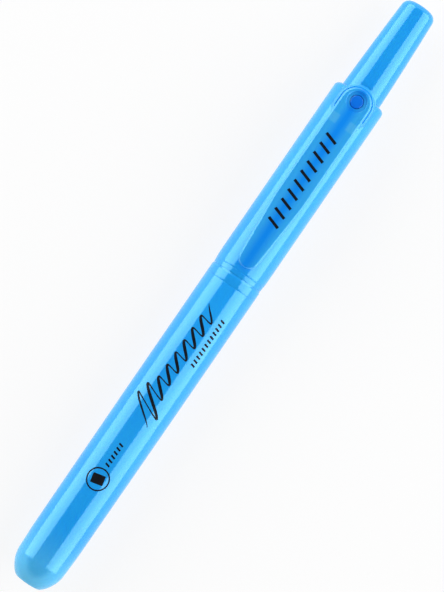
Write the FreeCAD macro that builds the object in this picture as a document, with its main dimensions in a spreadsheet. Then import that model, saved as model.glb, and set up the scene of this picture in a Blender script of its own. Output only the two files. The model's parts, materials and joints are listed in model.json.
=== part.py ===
import FreeCAD, Part
import math
import os
import Sketcher

# Retractable highlighter, lying on its side with the clip on top.
# Every sub-part is drawn about the pen's own axis: X is the station, measured
# from the flat mouth of the nose towards the button, and Z is up through the
# clip.  One placement then puts the pen's middle over the origin and its
# lowest line on Z = 0.

doc = FreeCAD.newDocument("RetractableHighlighter")

# ---------------------------------------------------------------- dimensions
# alias, value in mm (or degrees, or a count), meaning
DIMENSIONS = [
    ("overall_length", 144.0, "mouth of the nose to the top of the button"),
    ("barrel_diameter", 11.8, "rear barrel, the widest round"),
    ("front_length", 76.4, "mouth of the nose to the seam"),
    ("button_proud", 22.5, "button beyond the rim of the rear barrel"),
    ("front_waist", 0.06, "front barrel's radius under the rear barrel's"),
    ("front_draft", 0.09, "taper of the front barrel towards the nose"),
    ("draft_start", 44.0, "station where the front barrel's taper starts"),
    ("nose_length", 5.5, "length of the nose's round"),
    ("nose_shoulder", 11.0, "station where the nose meets the taper"),
    ("nose_drop", 0.17, "radius lost between the shoulder and the round"),
    ("nose_face_diameter", 6.2, "flat face around the mouth"),
    ("nose_wall", 1.0, "wall of the nose"),
    ("mouth_wall", 1.2, "depth of the mouth's bore"),
    ("mouth_gap", 0.35, "nib to the bore of the mouth"),
    ("cavity_step", 0.15, "bore to the wall of the shutters' cavity"),
    ("bore_diameter", 8.8, "bore of the front barrel"),
    ("seal_shoulder", 9.0, "station where the bore narrows to the cavity"),
    ("rear_wall", 0.9, "wall of the rear barrel"),
    ("neck_length", 5.2, "front barrel's neck inside the rear barrel"),
    ("seam_groove", 0.16, "depth of the visible groove at the seam"),
    ("seam_front_width", 0.5, "bevel of the front barrel at the seam"),
    ("seam_rear_width", 2.4, "bevel of the rear barrel at the seam"),
    ("rim_round", 1.0, "round of the rear barrel's rim"),
    ("rim_thickness", 1.1, "depth of the rim that keeps the button in"),
    ("rim_diameter", 9.36, "opening of the rim"),
    ("stroke", 17.0, "full travel of the button"),
    ("latch_stroke", 16.0, "travel at which the rotor would latch"),
    ("running_gap", 0.07, "radial clearance of a sliding fit"),
    ("end_gap", 0.05, "axial clearance between faces that meet"),
    ("stop_gap", 0.4, "room left beyond a full stroke"),
    # clip and its seat on the rear barrel
    ("seat_rise", 0.9, "clip seat above the barrel's round"),
    ("saddle_width", 7.7, "width of the raised seat"),
    ("saddle_length", 12.6, "length of the raised seat"),
    ("saddle_overhang", 1.3, "seat beyond the rim"),
    ("saddle_fillet", 0.4, "round of the seat's upper edge"),
    ("clip_thickness", 1.5, "clip above its seat"),
    ("clip_width", 6.6, "clip at its head"),
    ("clip_tip_width", 4.5, "clip at its free end"),
    ("clip_length", 43.6, "head to free end"),
    ("clip_head_inset", 0.6, "head inside the end of the seat"),
    ("clip_waist", 27.2, "head to the start of the taper"),
    ("clip_fillet", 0.55, "round of the clip's upper edge"),
    ("clip_bump_height", 0.7, "bump under the free end"),
    ("clip_bump_length", 3.4, "length of the bump"),
    ("clip_bump_width", 3.2, "width of the bump"),
    ("clip_bump_inset", 1.7, "free end to the bump"),
    ("stud_diameter", 3.1, "stud through the clip's head"),
    ("stud_inset", 2.9, "head's end to the stud"),
    ("stud_recess", 0.25, "top of the stud below the clip's face"),
    ("stud_gap", 0.2, "stud to its hole"),
    ("counterbore_diameter", 4.4, "shallow ring round the stud"),
    ("counterbore_depth", 0.4, "depth of that ring"),
    ("hook_inset", 8.0, "head's end to the middle of the hooks"),
    ("hook_spread", 4.4, "distance between the two hooks"),
    ("hook_width", 1.1, "width of a hook"),
    ("hook_leg", 0.6, "thickness of a hook's leg"),
    ("hook_depth", 1.35, "hook below the seat"),
    ("hook_barb", 0.35, "reach of a hook's barb"),
    ("hook_barb_height", 0.35, "height of a hook's barb"),
    ("hook_gap", 0.12, "hook to its pocket"),
    ("hook_lift", 0.46, "room above the barb when the clip opens"),
    ("hook_swing", 0.1, "room beside the leg when the clip opens"),
    # button and plunger
    ("button_root_diameter", 9.12, "button at the rim"),
    ("button_tip_diameter", 7.5, "button where its top begins"),
    ("button_top_height", 0.65, "dome of the button"),
    ("button_top_round", 1.2, "round of the button's edge"),
    ("button_wall", 1.1, "wall of the button"),
    ("button_top_wall", 2.4, "top of the button"),
    ("flange_thickness", 1.1, "flange that keeps the button in"),
    ("plunger_diameter", 7.7, "plunger inside the guide sleeve"),
    ("plunger_bore", 3.6, "bore of the plunger"),
    ("plunger_spigot", 7.0, "plunger inside the button"),
    ("tooth_width", 2.0, "cam tooth across its base"),
    ("tooth_height", 0.9, "cam tooth along the axis"),
    ("tooth_span", 6.4, "cam teeth across the rotor"),
    ("tooth_gap", 0.1, "cam tooth to its notch"),
    # guide sleeve, rotor and tail plug
    ("sleeve_bore", 8.1, "bore between the guide ribs"),
    ("groove_diameter", 8.9, "guide grooves"),
    ("groove_width", 1.9, "width of a guide groove"),
    ("rotor_diameter", 7.7, "rotor between its fins"),
    ("rotor_length", 6.0, "length of the rotor"),
    ("fin_gap", 0.12, "rotor's fin to its groove"),
    ("fin_length", 3.6, "length of a rotor's fin"),
    ("stub_diameter", 3.8, "tail plug's stub in the rotor"),
    ("plug_flange", 1.0, "flange of the tail plug"),
    ("plug_depth", 3.2, "plug inside the ink tube"),
    # ink tube, filler, holder and nib
    ("tube_gap", 0.5, "ink tube to the front barrel's bore"),
    ("tube_wall", 1.0, "wall of the ink tube"),
    ("filler_gap", 0.1, "filler to the tube's wall"),
    ("holder_step", 0.05, "nib to the round of its holder"),
    ("holder_flange", 1.5, "flange that the spring pushes"),
    ("holder_plug", 5.0, "holder inside the ink tube"),
    ("nib_diameter", 4.2, "round bar that the nib is cut from"),
    ("nib_length", 6.5, "nib beyond its holder"),
    ("nib_stem_diameter", 2.6, "stem of the nib"),
    ("nib_socket", 2.0, "stem inside the filler"),
    ("nib_tip_thickness", 1.3, "chisel edge"),
    ("nib_thickness", 2.8, "flat of the nib behind the chisel"),
    ("nib_chisel", 3.0, "length of the chisel"),
    ("nib_slant", 0.9, "slant of the writing edge"),
    ("nib_setback", 6.3, "shutter hinge to the nib at rest"),
    # sealing tube, rings and spring
    ("seal_tube_length", 20.0, "shutter hinge to the sealing tube's end"),
    ("seal_gap", 0.15, "holder to the bore of the sealing tube"),
    ("seal_collar_gap", 0.02, "sealing tube's collar to the bore"),
    ("wiper_cord", 1.0, "cord of the ring round the holder"),
    ("wiper_inset", 3.0, "sealing tube's end to that ring"),
    ("outer_ring_cord", 0.8, "cord of the ring round the tube"),
    ("outer_ring_inset", 7.0, "sealing tube's end to that ring"),
    ("spring_length", 24.0, "return spring at rest"),
    ("spring_mean_diameter", 6.3, "return spring, wire to wire"),
    ("spring_wire", 0.5, "wire of the return spring"),
    ("spring_turns", 9, "turns of the return spring"),
    # shutters
    ("shutter_angle", 65.0, "closed shutter to the pen's axis"),
    ("shutter_rest", 2.6, "station of an open shutter's tip"),
    ("hinge_inset", 1.05, "cavity's wall to the shutter hinge"),
    ("leaf_thickness", 0.7, "plate of a shutter"),
    ("gasket_thickness", 0.4, "gasket on a shutter"),
    ("gasket_margin", 0.25, "gasket inside the shutter's outline"),
    ("leaf_gap", 0.06, "between the two shutters where they meet"),
    ("leaf_clearance", 0.2, "shutter to the cavity"),
    ("leaf_root", 0.75, "hinge to the wide part of a shutter"),
    ("knuckle_diameter", 0.9, "hinge knuckle"),
    ("knuckle_half", 1.65, "middle of the pen to a knuckle's outer face"),
    ("knuckle_width", 0.75, "width of a knuckle"),
    ("ear_width", 0.3, "width of a hinge ear"),
    ("ear_gap", 0.08, "knuckle to its ear"),
    ("pin_diameter", 0.5, "hinge pin"),
    ("pin_gap", 0.02, "hinge pin to its bore"),
    ("torsion_wire", 0.16, "wire of a shutter spring"),
    ("torsion_diameter", 0.9, "shutter spring, wire to wire"),
    ("torsion_turns", 8, "turns of a shutter spring"),
    ("torsion_width", 1.4, "length of a shutter spring's coil"),
    ("torsion_leg", 1.6, "leg of a shutter spring along its shutter"),
]

sheet = doc.addObject("Spreadsheet::Sheet", "Dims")
for row, (alias, value, meaning) in enumerate(DIMENSIONS, start=1):
    sheet.set(f"A{row}", alias)
    sheet.set(f"B{row}", str(value))
    sheet.set(f"C{row}", meaning)
    sheet.setAlias(f"B{row}", alias)
doc.recompute()


def size(expression):
    """The present value of an expression on the sheet."""
    return float(sheet.evalExpression(expression))


# ---------------------------------------------------------------- derived sizes
# Each is an expression on the sheet, used in sketches and placements.
BARREL_R = "(Dims.barrel_diameter / 2)"
FRONT_R = f"({BARREL_R} - Dims.front_waist)"
TAPER_R = f"({FRONT_R} - Dims.front_draft)"
NOSE_R = f"({TAPER_R} - Dims.nose_drop)"
FACE_R = "(Dims.nose_face_diameter / 2)"
NOSE_RISE = f"({NOSE_R} - {FACE_R})"
NOSE_ARC = f"((Dims.nose_length ^ 2 + {NOSE_RISE} ^ 2) / (2 * {NOSE_RISE}))"
NOSE_CENTRE = f"({NOSE_R} - {NOSE_ARC})"
CAVITY_ARC = f"({NOSE_ARC} - Dims.nose_wall)"
BORE_R = "(Dims.bore_diameter / 2)"
CAVITY_R = f"({BORE_R} - Dims.cavity_step)"
CAVITY_D = f"(2 * {CAVITY_R})"
CAVITY_END = f"(Dims.nose_length - sqrt({CAVITY_ARC} ^ 2 - ({CAVITY_R} - {NOSE_CENTRE}) ^ 2))"
CAVITY_FACE_R = (
    f"({NOSE_CENTRE} + sqrt({CAVITY_ARC} ^ 2 - (Dims.nose_length - Dims.mouth_wall) ^ 2))"
)
NIB_BAR_R = "(Dims.nib_diameter / 2)"
MOUTH_R = f"({NIB_BAR_R} + Dims.mouth_gap)"
REAR_BORE_R = f"({BARREL_R} - Dims.rear_wall)"
SEAM_R = f"({BARREL_R} - Dims.front_waist - Dims.seam_groove)"
SEAM = "Dims.front_length"
NECK_END = f"({SEAM} + Dims.neck_length)"
RIM = "(Dims.overall_length - Dims.button_proud)"
RIM_R = "(Dims.rim_diameter / 2)"
RIM_INNER = f"({RIM} - Dims.rim_thickness)"

# the button's flange, the guide sleeve and the rotor, counted from the rim
FLANGE_REAR = f"({RIM_INNER} - Dims.end_gap)"
FLANGE_FRONT = f"({FLANGE_REAR} - Dims.flange_thickness)"
FLANGE_R = f"({REAR_BORE_R} - Dims.running_gap)"
SLEEVE_REAR = f"({FLANGE_FRONT} - Dims.stroke - Dims.stop_gap)"
ROTOR_REAR = f"({SLEEVE_REAR} - Dims.stop_gap)"
ROTOR_FRONT = f"({ROTOR_REAR} - Dims.rotor_length)"
SLEEVE_FRONT = f"({ROTOR_REAR} - Dims.latch_stroke)"
TUBE_REAR = f"({ROTOR_FRONT} - Dims.end_gap - Dims.plug_flange)"
BUTTON_ROOT_R = "(Dims.button_root_diameter / 2)"
BUTTON_TIP_R = "(Dims.button_tip_diameter / 2)"
BUTTON_EDGE = "(Dims.overall_length - Dims.button_top_height)"
BUTTON_BORE_R = f"({BUTTON_TIP_R} - Dims.button_wall + Dims.end_gap)"
SPIGOT_REAR = f"({FLANGE_FRONT} + Dims.plunger_spigot)"
PLUNGER_R = "(Dims.plunger_diameter / 2)"
ROTOR_R = "(Dims.rotor_diameter / 2)"
GROOVE_R = "(Dims.groove_diameter / 2)"
STUB_R = "(Dims.stub_diameter / 2)"

# the shutters' hinge and what is counted from it
HINGE_DROP = f"({CAVITY_R} - Dims.hinge_inset)"
LEAF_OFFSET = "(Dims.leaf_thickness / 2 + Dims.gasket_thickness)"
LEAF_LENGTH = (
    f"(({HINGE_DROP} - Dims.leaf_gap / 2 - {LEAF_OFFSET} * cos(Dims.shutter_angle * 1deg))"
    " / sin(Dims.shutter_angle * 1deg))"
)
HINGE = f"(Dims.shutter_rest + {LEAF_LENGTH})"
NIB_TIP = f"({HINGE} + Dims.nib_setback)"
HOLDER_FRONT = f"({NIB_TIP} + Dims.nib_length)"
SEAL_REAR = f"({HINGE} + Dims.seal_tube_length)"
SPRING_REAR = f"({SEAL_REAR} + Dims.spring_length)"
TUBE_FRONT = f"({SPRING_REAR} + Dims.holder_flange)"
PLUG_REAR = f"({TUBE_FRONT} + Dims.holder_plug)"
FILLER_FRONT = f"({PLUG_REAR} + Dims.end_gap)"
FILLER_REAR = f"({TUBE_REAR} - Dims.plug_depth - Dims.end_gap)"
TUBE_R = f"({BORE_R} - Dims.tube_gap)"
TUBE_BORE_R = f"({TUBE_R} - Dims.tube_wall)"
HOLDER_R = f"({NIB_BAR_R} + Dims.holder_step)"
STEM_R = "(Dims.nib_stem_diameter / 2)"
SEAL_R = f"({CAVITY_R} - Dims.running_gap)"
COLLAR_R = f"({BORE_R} - Dims.seal_collar_gap)"
SEAL_BORE_R = f"({HOLDER_R} + Dims.seal_gap)"
WIPER_STATION = f"({SEAL_REAR} - Dims.wiper_inset)"
WIPER_RADIUS = f"({HOLDER_R} + Dims.end_gap + Dims.wiper_cord / 2)"
OUTER_RING_STATION = f"({SEAL_REAR} - Dims.outer_ring_inset)"
OUTER_RING_RADIUS = f"({BORE_R} - Dims.outer_ring_cord / 2)"

# the clip, counted from the end of its seat
SEAT_HEIGHT = f"({BARREL_R} + Dims.seat_rise)"
SADDLE_REAR = f"({RIM} + Dims.saddle_overhang)"
CLIP_REAR = f"({SADDLE_REAR} - Dims.clip_head_inset)"
CLIP_FRONT = f"({CLIP_REAR} - Dims.clip_length)"
CLIP_HALF = "(Dims.clip_width / 2)"
CLIP_TIP_HALF = "(Dims.clip_tip_width / 2)"
STUD_STATION = f"({CLIP_REAR} - Dims.stud_inset)"
HOOK_STATION = f"({CLIP_REAR} - Dims.hook_inset)"


# ---------------------------------------------------------------- drawing helpers
FULL_TURN = 360
VOLUME_CHANGE = 1e-4
NEAR = 1e-3


def new_body(label):
    """A body on the pen's axis, placed with the pen's middle over the origin."""
    body = doc.addObject("PartDesign::Body", label)
    body.Label = label
    place_on_axis(body)
    return body


def place_on_axis(item):
    """Move a sub-part from the pen's own axis to the frame of the whole pen."""
    item.setExpression("Placement.Base.x", "-Dims.overall_length / 2")
    item.setExpression("Placement.Base.z", BARREL_R)


def new_sketch(body, name, plane="XZ_Plane", offset=None):
    """A sketch on one of the body's own planes, moved along its normal by offset."""
    sketch = body.newObject("Sketcher::SketchObject", f"{body.Name}_{name}")
    origin_plane = [item for item in body.Origin.OriginFeatures if item.Role == plane][0]
    sketch.AttachmentSupport = [(origin_plane, "")]
    sketch.MapMode = "FlatFace"
    if offset is not None:
        sketch.setExpression("AttachmentOffset.Base.z", offset)
    doc.recompute()
    return sketch


def arc_between(start, end, radius, clockwise):
    """Arc of a given radius from start to end, the shorter way round."""
    middle = (start + end) / 2
    chord = end - start
    height = math.sqrt(max(radius ** 2 - (chord.Length / 2) ** 2, 0))
    normal = FreeCAD.Vector(-chord.y, chord.x, 0).normalize()
    centre = middle - normal * height if clockwise else middle + normal * height
    first, last = (end, start) if clockwise else (start, end)
    first_angle = math.atan2(first.y - centre.y, first.x - centre.x)
    last_angle = math.atan2(last.y - centre.y, last.x - centre.x)
    circle = Part.Circle(centre, FreeCAD.Vector(0, 0, 1), radius)
    return Part.ArcOfCircle(circle, first_angle, last_angle)


def draw_outline(sketch, corners):
    """Close an outline through corners.

    A corner is (x, y) or, where the edge that reaches it is round, (x, y, radius, turn)
    with turn "left" or "right".  All are expressions on the sheet.
    """
    points = [FreeCAD.Vector(size(corner[0]), size(corner[1]), 0) for corner in corners]
    edges = []
    for index, start in enumerate(points):
        following = (index + 1) % len(points)
        end = points[following]
        corner = corners[following]
        if len(corner) == 2:
            edge = sketch.addGeometry(Part.LineSegment(start, end), False)
            edges.append((edge, 1, 2))
            continue
        clockwise = corner[3] == "right"
        arc = arc_between(start, end, size(corner[2]), clockwise)
        edge = sketch.addGeometry(arc, False)
        edges.append((edge, 2, 1) if clockwise else (edge, 1, 2))
    for index, (edge, _, last) in enumerate(edges):
        next_edge, next_first, _ = edges[(index + 1) % len(edges)]
        sketch.addConstraint(Sketcher.Constraint("Coincident", edge, last, next_edge, next_first))
    for index, (edge, first, _) in enumerate(edges):
        bind_distance(sketch, "DistanceX", edge, first, corners[index][0])
        bind_distance(sketch, "DistanceY", edge, first, corners[index][1])
        following = corners[(index + 1) % len(corners)]
        if len(following) > 2:
            bind(sketch, Sketcher.Constraint("Radius", edge, size(following[2])), following[2])


def bind(sketch, constraint, expression):
    """Add a constraint whose value is an expression on the sheet."""
    number = sketch.addConstraint(constraint)
    sketch.setExpression(f"Constraints[{number}]", expression)


def bind_distance(sketch, kind, edge, point, expression):
    """Hold a point at a distance from the sketch's origin along one axis."""
    on_axis = {"DistanceX": -2, "DistanceY": -1}
    if expression == "0":
        sketch.addConstraint(Sketcher.Constraint("PointOnObject", edge, point, on_axis[kind]))
        return
    constraint = Sketcher.Constraint(kind, -1, 1, edge, point, size(expression))
    bind(sketch, constraint, expression)


def draw_circle(sketch, x, y, radius):
    """A circle whose centre and radius are expressions on the sheet."""
    centre = FreeCAD.Vector(size(x), size(y), 0)
    circle = Part.Circle(centre, FreeCAD.Vector(0, 0, 1), size(radius))
    edge = sketch.addGeometry(circle, False)
    bind_distance(sketch, "DistanceX", edge, 3, x)
    bind_distance(sketch, "DistanceY", edge, 3, y)
    bind(sketch, Sketcher.Constraint("Radius", edge, size(radius)), radius)


def draw_box(sketch, x_low, x_high, y_low, y_high):
    """A rectangle between two stations and two heights."""
    draw_outline(sketch, [(x_low, y_low), (x_high, y_low), (x_high, y_high), (x_low, y_high)])


def turn_profile(body, kind, sketch):
    """Revolve (or groove) a sketch about the pen's axis."""
    feature = body.newObject(f"PartDesign::{kind}", f"{sketch.Name}_turned")
    feature.Profile = sketch
    feature.ReferenceAxis = (sketch, ["H_Axis"])
    feature.Angle = FULL_TURN
    finish_feature(body, feature)
    return feature


def extrude(body, kind, sketch, length=None, symmetric=False, backwards=False):
    """Pad or pocket a sketch; without a length a pocket goes through everything."""
    feature = body.newObject(f"PartDesign::{kind}", f"{sketch.Name}_{kind.lower()}")
    feature.Profile = sketch
    if length is None:
        feature.Type = "ThroughAll"
    else:
        feature.setExpression("Length", length)
    feature.Midplane = symmetric
    feature.Reversed = backwards
    finish_feature(body, feature)
    return feature


def finish_feature(body, feature):
    """Recompute a feature and check that it added or removed something."""
    base = feature.BaseFeature
    doc.recompute()
    if base is not None and abs(feature.Shape.Volume - base.Shape.Volume) < VOLUME_CHANGE:
        raise RuntimeError(f"{feature.Name} changes nothing")
    feature.Profile[0].Visibility = False


def turned_body(label, corners):
    """A body of revolution from an outline in the plane of the pen's axis."""
    body = new_body(label)
    sketch = new_sketch(body, "profile")
    draw_outline(sketch, corners)
    turn_profile(body, "Revolution", sketch)
    return body


def tube_corners(front, rear, inner, outer):
    """Outline of a plain tube between two stations."""
    return [(front, inner), (rear, inner), (rear, outer), (front, outer)]


def round_edges(body, radius, wanted):
    """Fillet the edges that a test picks out."""
    base = body.Tip
    names = [
        f"Edge{number}" for number, edge in enumerate(base.Shape.Edges, start=1) if wanted(edge)
    ]
    if not names:
        raise RuntimeError(f"{body.Label}: no edge to round")
    fillet = body.newObject("PartDesign::Fillet", f"{body.Name}_round{len(body.Group)}")
    fillet.Base = (base, names)
    fillet.setExpression("Radius", radius)
    doc.recompute()
    if fillet.Shape.isNull():
        raise RuntimeError(f"{body.Label}: edges {names} could not be rounded")
    return fillet


def lies_at(value, target):
    """True where two lengths agree to a micrometre."""
    return abs(value - target) < NEAR


def at_height(height):
    """A test for edges that lie wholly at one height above the pen's axis."""
    level = size(height)
    return lambda edge: lies_at(edge.BoundBox.ZMin, level) and lies_at(edge.BoundBox.ZMax, level)


def negative(expression):
    """The same size on the other side of an axis."""
    return f"-{expression}"


# ---------------------------------------------------------------- barrel
def make_front_barrel():
    """Front half of the barrel: round nose, long bore and a neck at the rear."""
    return turned_body("front_barrel", [
        ("0", MOUTH_R),
        ("Dims.mouth_wall", MOUTH_R),
        ("Dims.mouth_wall", CAVITY_FACE_R),
        (CAVITY_END, CAVITY_R, CAVITY_ARC, "right"),
        ("Dims.seal_shoulder", CAVITY_R),
        ("Dims.seal_shoulder", BORE_R),
        (NECK_END, BORE_R),
        (NECK_END, REAR_BORE_R),
        (SEAM, REAR_BORE_R),
        (SEAM, SEAM_R),
        (f"({SEAM} - Dims.seam_front_width)", FRONT_R),
        ("Dims.draft_start", FRONT_R),
        ("Dims.nose_shoulder", TAPER_R),
        ("Dims.nose_length", NOSE_R),
        ("0", FACE_R, NOSE_ARC, "left"),
    ])


def make_rear_barrel():
    """Rear half of the barrel, with the rim and the raised seat of the clip."""
    body = new_body("rear_barrel")
    outside = new_sketch(body, "outside")
    rim_round_start = f"({RIM} - Dims.rim_round)"
    draw_outline(outside, [
        (SEAM, "0"),
        (RIM, "0"),
        (RIM, f"({BARREL_R} - Dims.rim_round)"),
        (rim_round_start, BARREL_R, "Dims.rim_round", "left"),
        (f"({SEAM} + Dims.seam_rear_width)", BARREL_R),
        (SEAM, SEAM_R),
    ])
    turn_profile(body, "Revolution", outside)

    seat = new_sketch(body, "seat", "XY_Plane")
    half = "(Dims.saddle_width / 2)"
    arch_start = f"({SADDLE_REAR} - {half})"
    front = f"({SADDLE_REAR} - Dims.saddle_length)"
    draw_outline(seat, [
        (front, negative(half)),
        (arch_start, negative(half)),
        (SADDLE_REAR, "0", half, "left"),
        (arch_start, half, half, "left"),
        (front, half),
    ])
    extrude(body, "Pad", seat, SEAT_HEIGHT)

    bore = new_sketch(body, "bore")
    past_rim = f"({SADDLE_REAR} + Dims.saddle_overhang)"
    draw_outline(bore, [
        (SEAM, "0"),
        (past_rim, "0"),
        (past_rim, REAR_BORE_R),
        (RIM, REAR_BORE_R),
        (RIM, RIM_R),
        (RIM_INNER, RIM_R),
        (RIM_INNER, REAR_BORE_R),
        (SEAM, REAR_BORE_R),
    ])
    turn_profile(body, "Groove", bore)
    round_edges(body, "Dims.saddle_fillet", at_height(SEAT_HEIGHT))
    cut_hook_pockets(body)
    add_stud(body)
    return body


def cut_hook_pockets(body):
    """Two pockets in the seat, each undercut towards the button for a barb."""
    floor = f"({SEAT_HEIGHT} - Dims.hook_depth - Dims.hook_gap)"
    ceiling = f"({floor} + Dims.hook_gap + Dims.hook_barb_height + Dims.hook_lift)"
    leg_front = f"({HOOK_STATION} - Dims.hook_leg / 2 - Dims.hook_gap - Dims.hook_swing)"
    leg_rear = f"({HOOK_STATION} + Dims.hook_leg / 2 + Dims.hook_gap)"
    barb_rear = f"({leg_rear} + Dims.hook_barb)"
    for side in ("left", "right"):
        for part, rear, top in (
            ("throat", leg_rear, f"({SEAT_HEIGHT} + Dims.hook_depth)"),
            ("undercut", barb_rear, ceiling),
        ):
            sketch = new_sketch(body, f"{side}_{part}", offset=hook_plane(side, "Dims.hook_gap"))
            draw_box(sketch, leg_front, rear, floor, top)
            extrude(body, "Pocket", sketch, "(Dims.hook_width + 2 * Dims.hook_gap)")


def hook_plane(side, gap):
    """Where a hook's nearer flank lies, as an offset of the upright plane."""
    if side == "left":
        return f"(Dims.hook_spread / 2 + Dims.hook_width / 2 + {gap})"
    return f"(-Dims.hook_spread / 2 + Dims.hook_width / 2 + {gap})"


def add_stud(body):
    """Round stud that locates the clip's head."""
    sketch = new_sketch(body, "stud", "XY_Plane", f"({SEAT_HEIGHT} - Dims.stud_recess)")
    draw_circle(sketch, STUD_STATION, "0", "(Dims.stud_diameter / 2)")
    extrude(body, "Pad", sketch, "Dims.clip_thickness")


# ---------------------------------------------------------------- clip
def make_clip():
    """Flat clip with a round head, a narrowing arm, a bump and two snap hooks."""
    body = new_body("clip")
    plan = new_sketch(body, "plan", "XY_Plane", SEAT_HEIGHT)
    head_start = f"({CLIP_REAR} - {CLIP_HALF})"
    waist = f"({CLIP_REAR} - Dims.clip_waist)"
    tip_start = f"({CLIP_FRONT} + {CLIP_TIP_HALF})"
    draw_outline(plan, [
        (waist, negative(CLIP_HALF)),
        (head_start, negative(CLIP_HALF)),
        (CLIP_REAR, "0", CLIP_HALF, "left"),
        (head_start, CLIP_HALF, CLIP_HALF, "left"),
        (waist, CLIP_HALF),
        (tip_start, CLIP_TIP_HALF),
        (CLIP_FRONT, "0", CLIP_TIP_HALF, "left"),
        (tip_start, negative(CLIP_TIP_HALF), CLIP_TIP_HALF, "left"),
    ])
    extrude(body, "Pad", plan, "Dims.clip_thickness")
    round_edges(body, "Dims.clip_fillet", at_height(f"({SEAT_HEIGHT} + Dims.clip_thickness)"))

    hole = new_sketch(body, "hole", "XY_Plane", f"({SEAT_HEIGHT} + Dims.clip_thickness)")
    draw_circle(hole, STUD_STATION, "0", "(Dims.stud_diameter / 2 + Dims.stud_gap)")
    extrude(body, "Pocket", hole)
    ring = new_sketch(body, "ring", "XY_Plane", f"({SEAT_HEIGHT} + Dims.clip_thickness)")
    draw_circle(ring, STUD_STATION, "0", "(Dims.counterbore_diameter / 2)")
    extrude(body, "Pocket", ring, "Dims.counterbore_depth")

    add_clip_bump(body)
    add_clip_hooks(body)
    return body


def add_clip_bump(body):
    """Rounded bump that grips what the clip is pushed over."""
    bump = new_sketch(body, "bump")
    start = f"({CLIP_FRONT} + Dims.clip_bump_inset)"
    end = f"({start} + Dims.clip_bump_length)"
    arc = (
        "((Dims.clip_bump_length ^ 2 / 4 + Dims.clip_bump_height ^ 2)"
        " / (2 * Dims.clip_bump_height))"
    )
    inside = f"({SEAT_HEIGHT} + Dims.clip_thickness / 2)"
    draw_outline(bump, [
        (end, SEAT_HEIGHT, arc, "left"),
        (end, inside),
        (start, inside),
        (start, SEAT_HEIGHT),
    ])
    extrude(body, "Pad", bump, "Dims.clip_bump_width", symmetric=True)


def add_clip_hooks(body):
    """Two hooks under the head, each with a barb towards the button."""
    top = f"({SEAT_HEIGHT} + Dims.clip_thickness / 2)"
    tip = f"({SEAT_HEIGHT} - Dims.hook_depth)"
    barb_top = f"({tip} + Dims.hook_barb_height)"
    front = f"({HOOK_STATION} - Dims.hook_leg / 2)"
    rear = f"({HOOK_STATION} + Dims.hook_leg / 2)"
    barb = f"({rear} + Dims.hook_barb)"
    for side in ("left", "right"):
        hook = new_sketch(body, f"{side}_hook", offset=hook_plane(side, "0"))
        draw_outline(hook, [
            (front, tip),
            (barb, tip),
            (barb, barb_top),
            (rear, barb_top),
            (rear, top),
            (front, top),
        ])
        extrude(body, "Pad", hook, "Dims.hook_width", backwards=True)


# ---------------------------------------------------------------- button and plunger
def make_button():
    """Tapered push button with a flange that the rim keeps in."""
    dome = f"((Dims.button_top_height ^ 2 + {BUTTON_TIP_R} ^ 2) / (2 * Dims.button_top_height))"
    body = turned_body("knock_button", [
        (FLANGE_FRONT, BUTTON_BORE_R),
        (FLANGE_FRONT, FLANGE_R),
        (FLANGE_REAR, FLANGE_R),
        (FLANGE_REAR, BUTTON_ROOT_R),
        (f"({RIM} + Dims.end_gap)", BUTTON_ROOT_R),
        (BUTTON_EDGE, BUTTON_TIP_R),
        ("Dims.overall_length", "0", dome, "right"),
        ("(Dims.overall_length - Dims.button_top_wall)", "0"),
        ("(Dims.overall_length - Dims.button_top_wall)", BUTTON_BORE_R),
    ])
    edge_station = size(BUTTON_EDGE)
    edge_radius = size(BUTTON_TIP_R)
    round_edges(body, "Dims.button_top_round", lambda edge: (
        lies_at(edge.BoundBox.XMin, edge_station)
        and lies_at(edge.BoundBox.XMax, edge_station)
        and lies_at(edge.BoundBox.ZMax, edge_radius)
    ))
    return body


def make_plunger():
    """Hollow plunger between the button and the rotor, notched for cam teeth."""
    body = turned_body("plunger", [
        (ROTOR_REAR, "(Dims.plunger_bore / 2)"),
        (SPIGOT_REAR, "(Dims.plunger_bore / 2)"),
        (SPIGOT_REAR, BUTTON_BORE_R),
        (FLANGE_FRONT, BUTTON_BORE_R),
        (FLANGE_FRONT, PLUNGER_R),
        (ROTOR_REAR, PLUNGER_R),
    ])
    half = "(Dims.tooth_width / 2 + Dims.tooth_gap)"
    tip = f"({ROTOR_REAR} + Dims.tooth_height + Dims.tooth_gap)"
    for plane in ("XZ_Plane", "XY_Plane"):
        notch = new_sketch(body, f"notch_{plane}", plane)
        draw_outline(notch, [
            (ROTOR_REAR, negative(half)),
            (tip, "0"),
            (ROTOR_REAR, half),
        ])
        extrude(body, "Pocket", notch, "(2 * Dims.plunger_diameter)", symmetric=True)
    return body


# ---------------------------------------------------------------- guide sleeve and rotor
def make_guide_sleeve():
    """Sleeve fixed in the rear barrel, with four grooves for the rotor's fins."""
    body = turned_body("guide_sleeve", tube_corners(
        SLEEVE_FRONT, SLEEVE_REAR, "(Dims.sleeve_bore / 2)", REAR_BORE_R,
    ))
    half = "(Dims.groove_width / 2)"
    for name, across, along in (("upright", half, GROOVE_R), ("level", GROOVE_R, half)):
        groove = new_sketch(body, name, "YZ_Plane", SLEEVE_REAR)
        draw_box(groove, negative(across), across, negative(along), along)
        extrude(body, "Pocket", groove)
    return body


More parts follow.
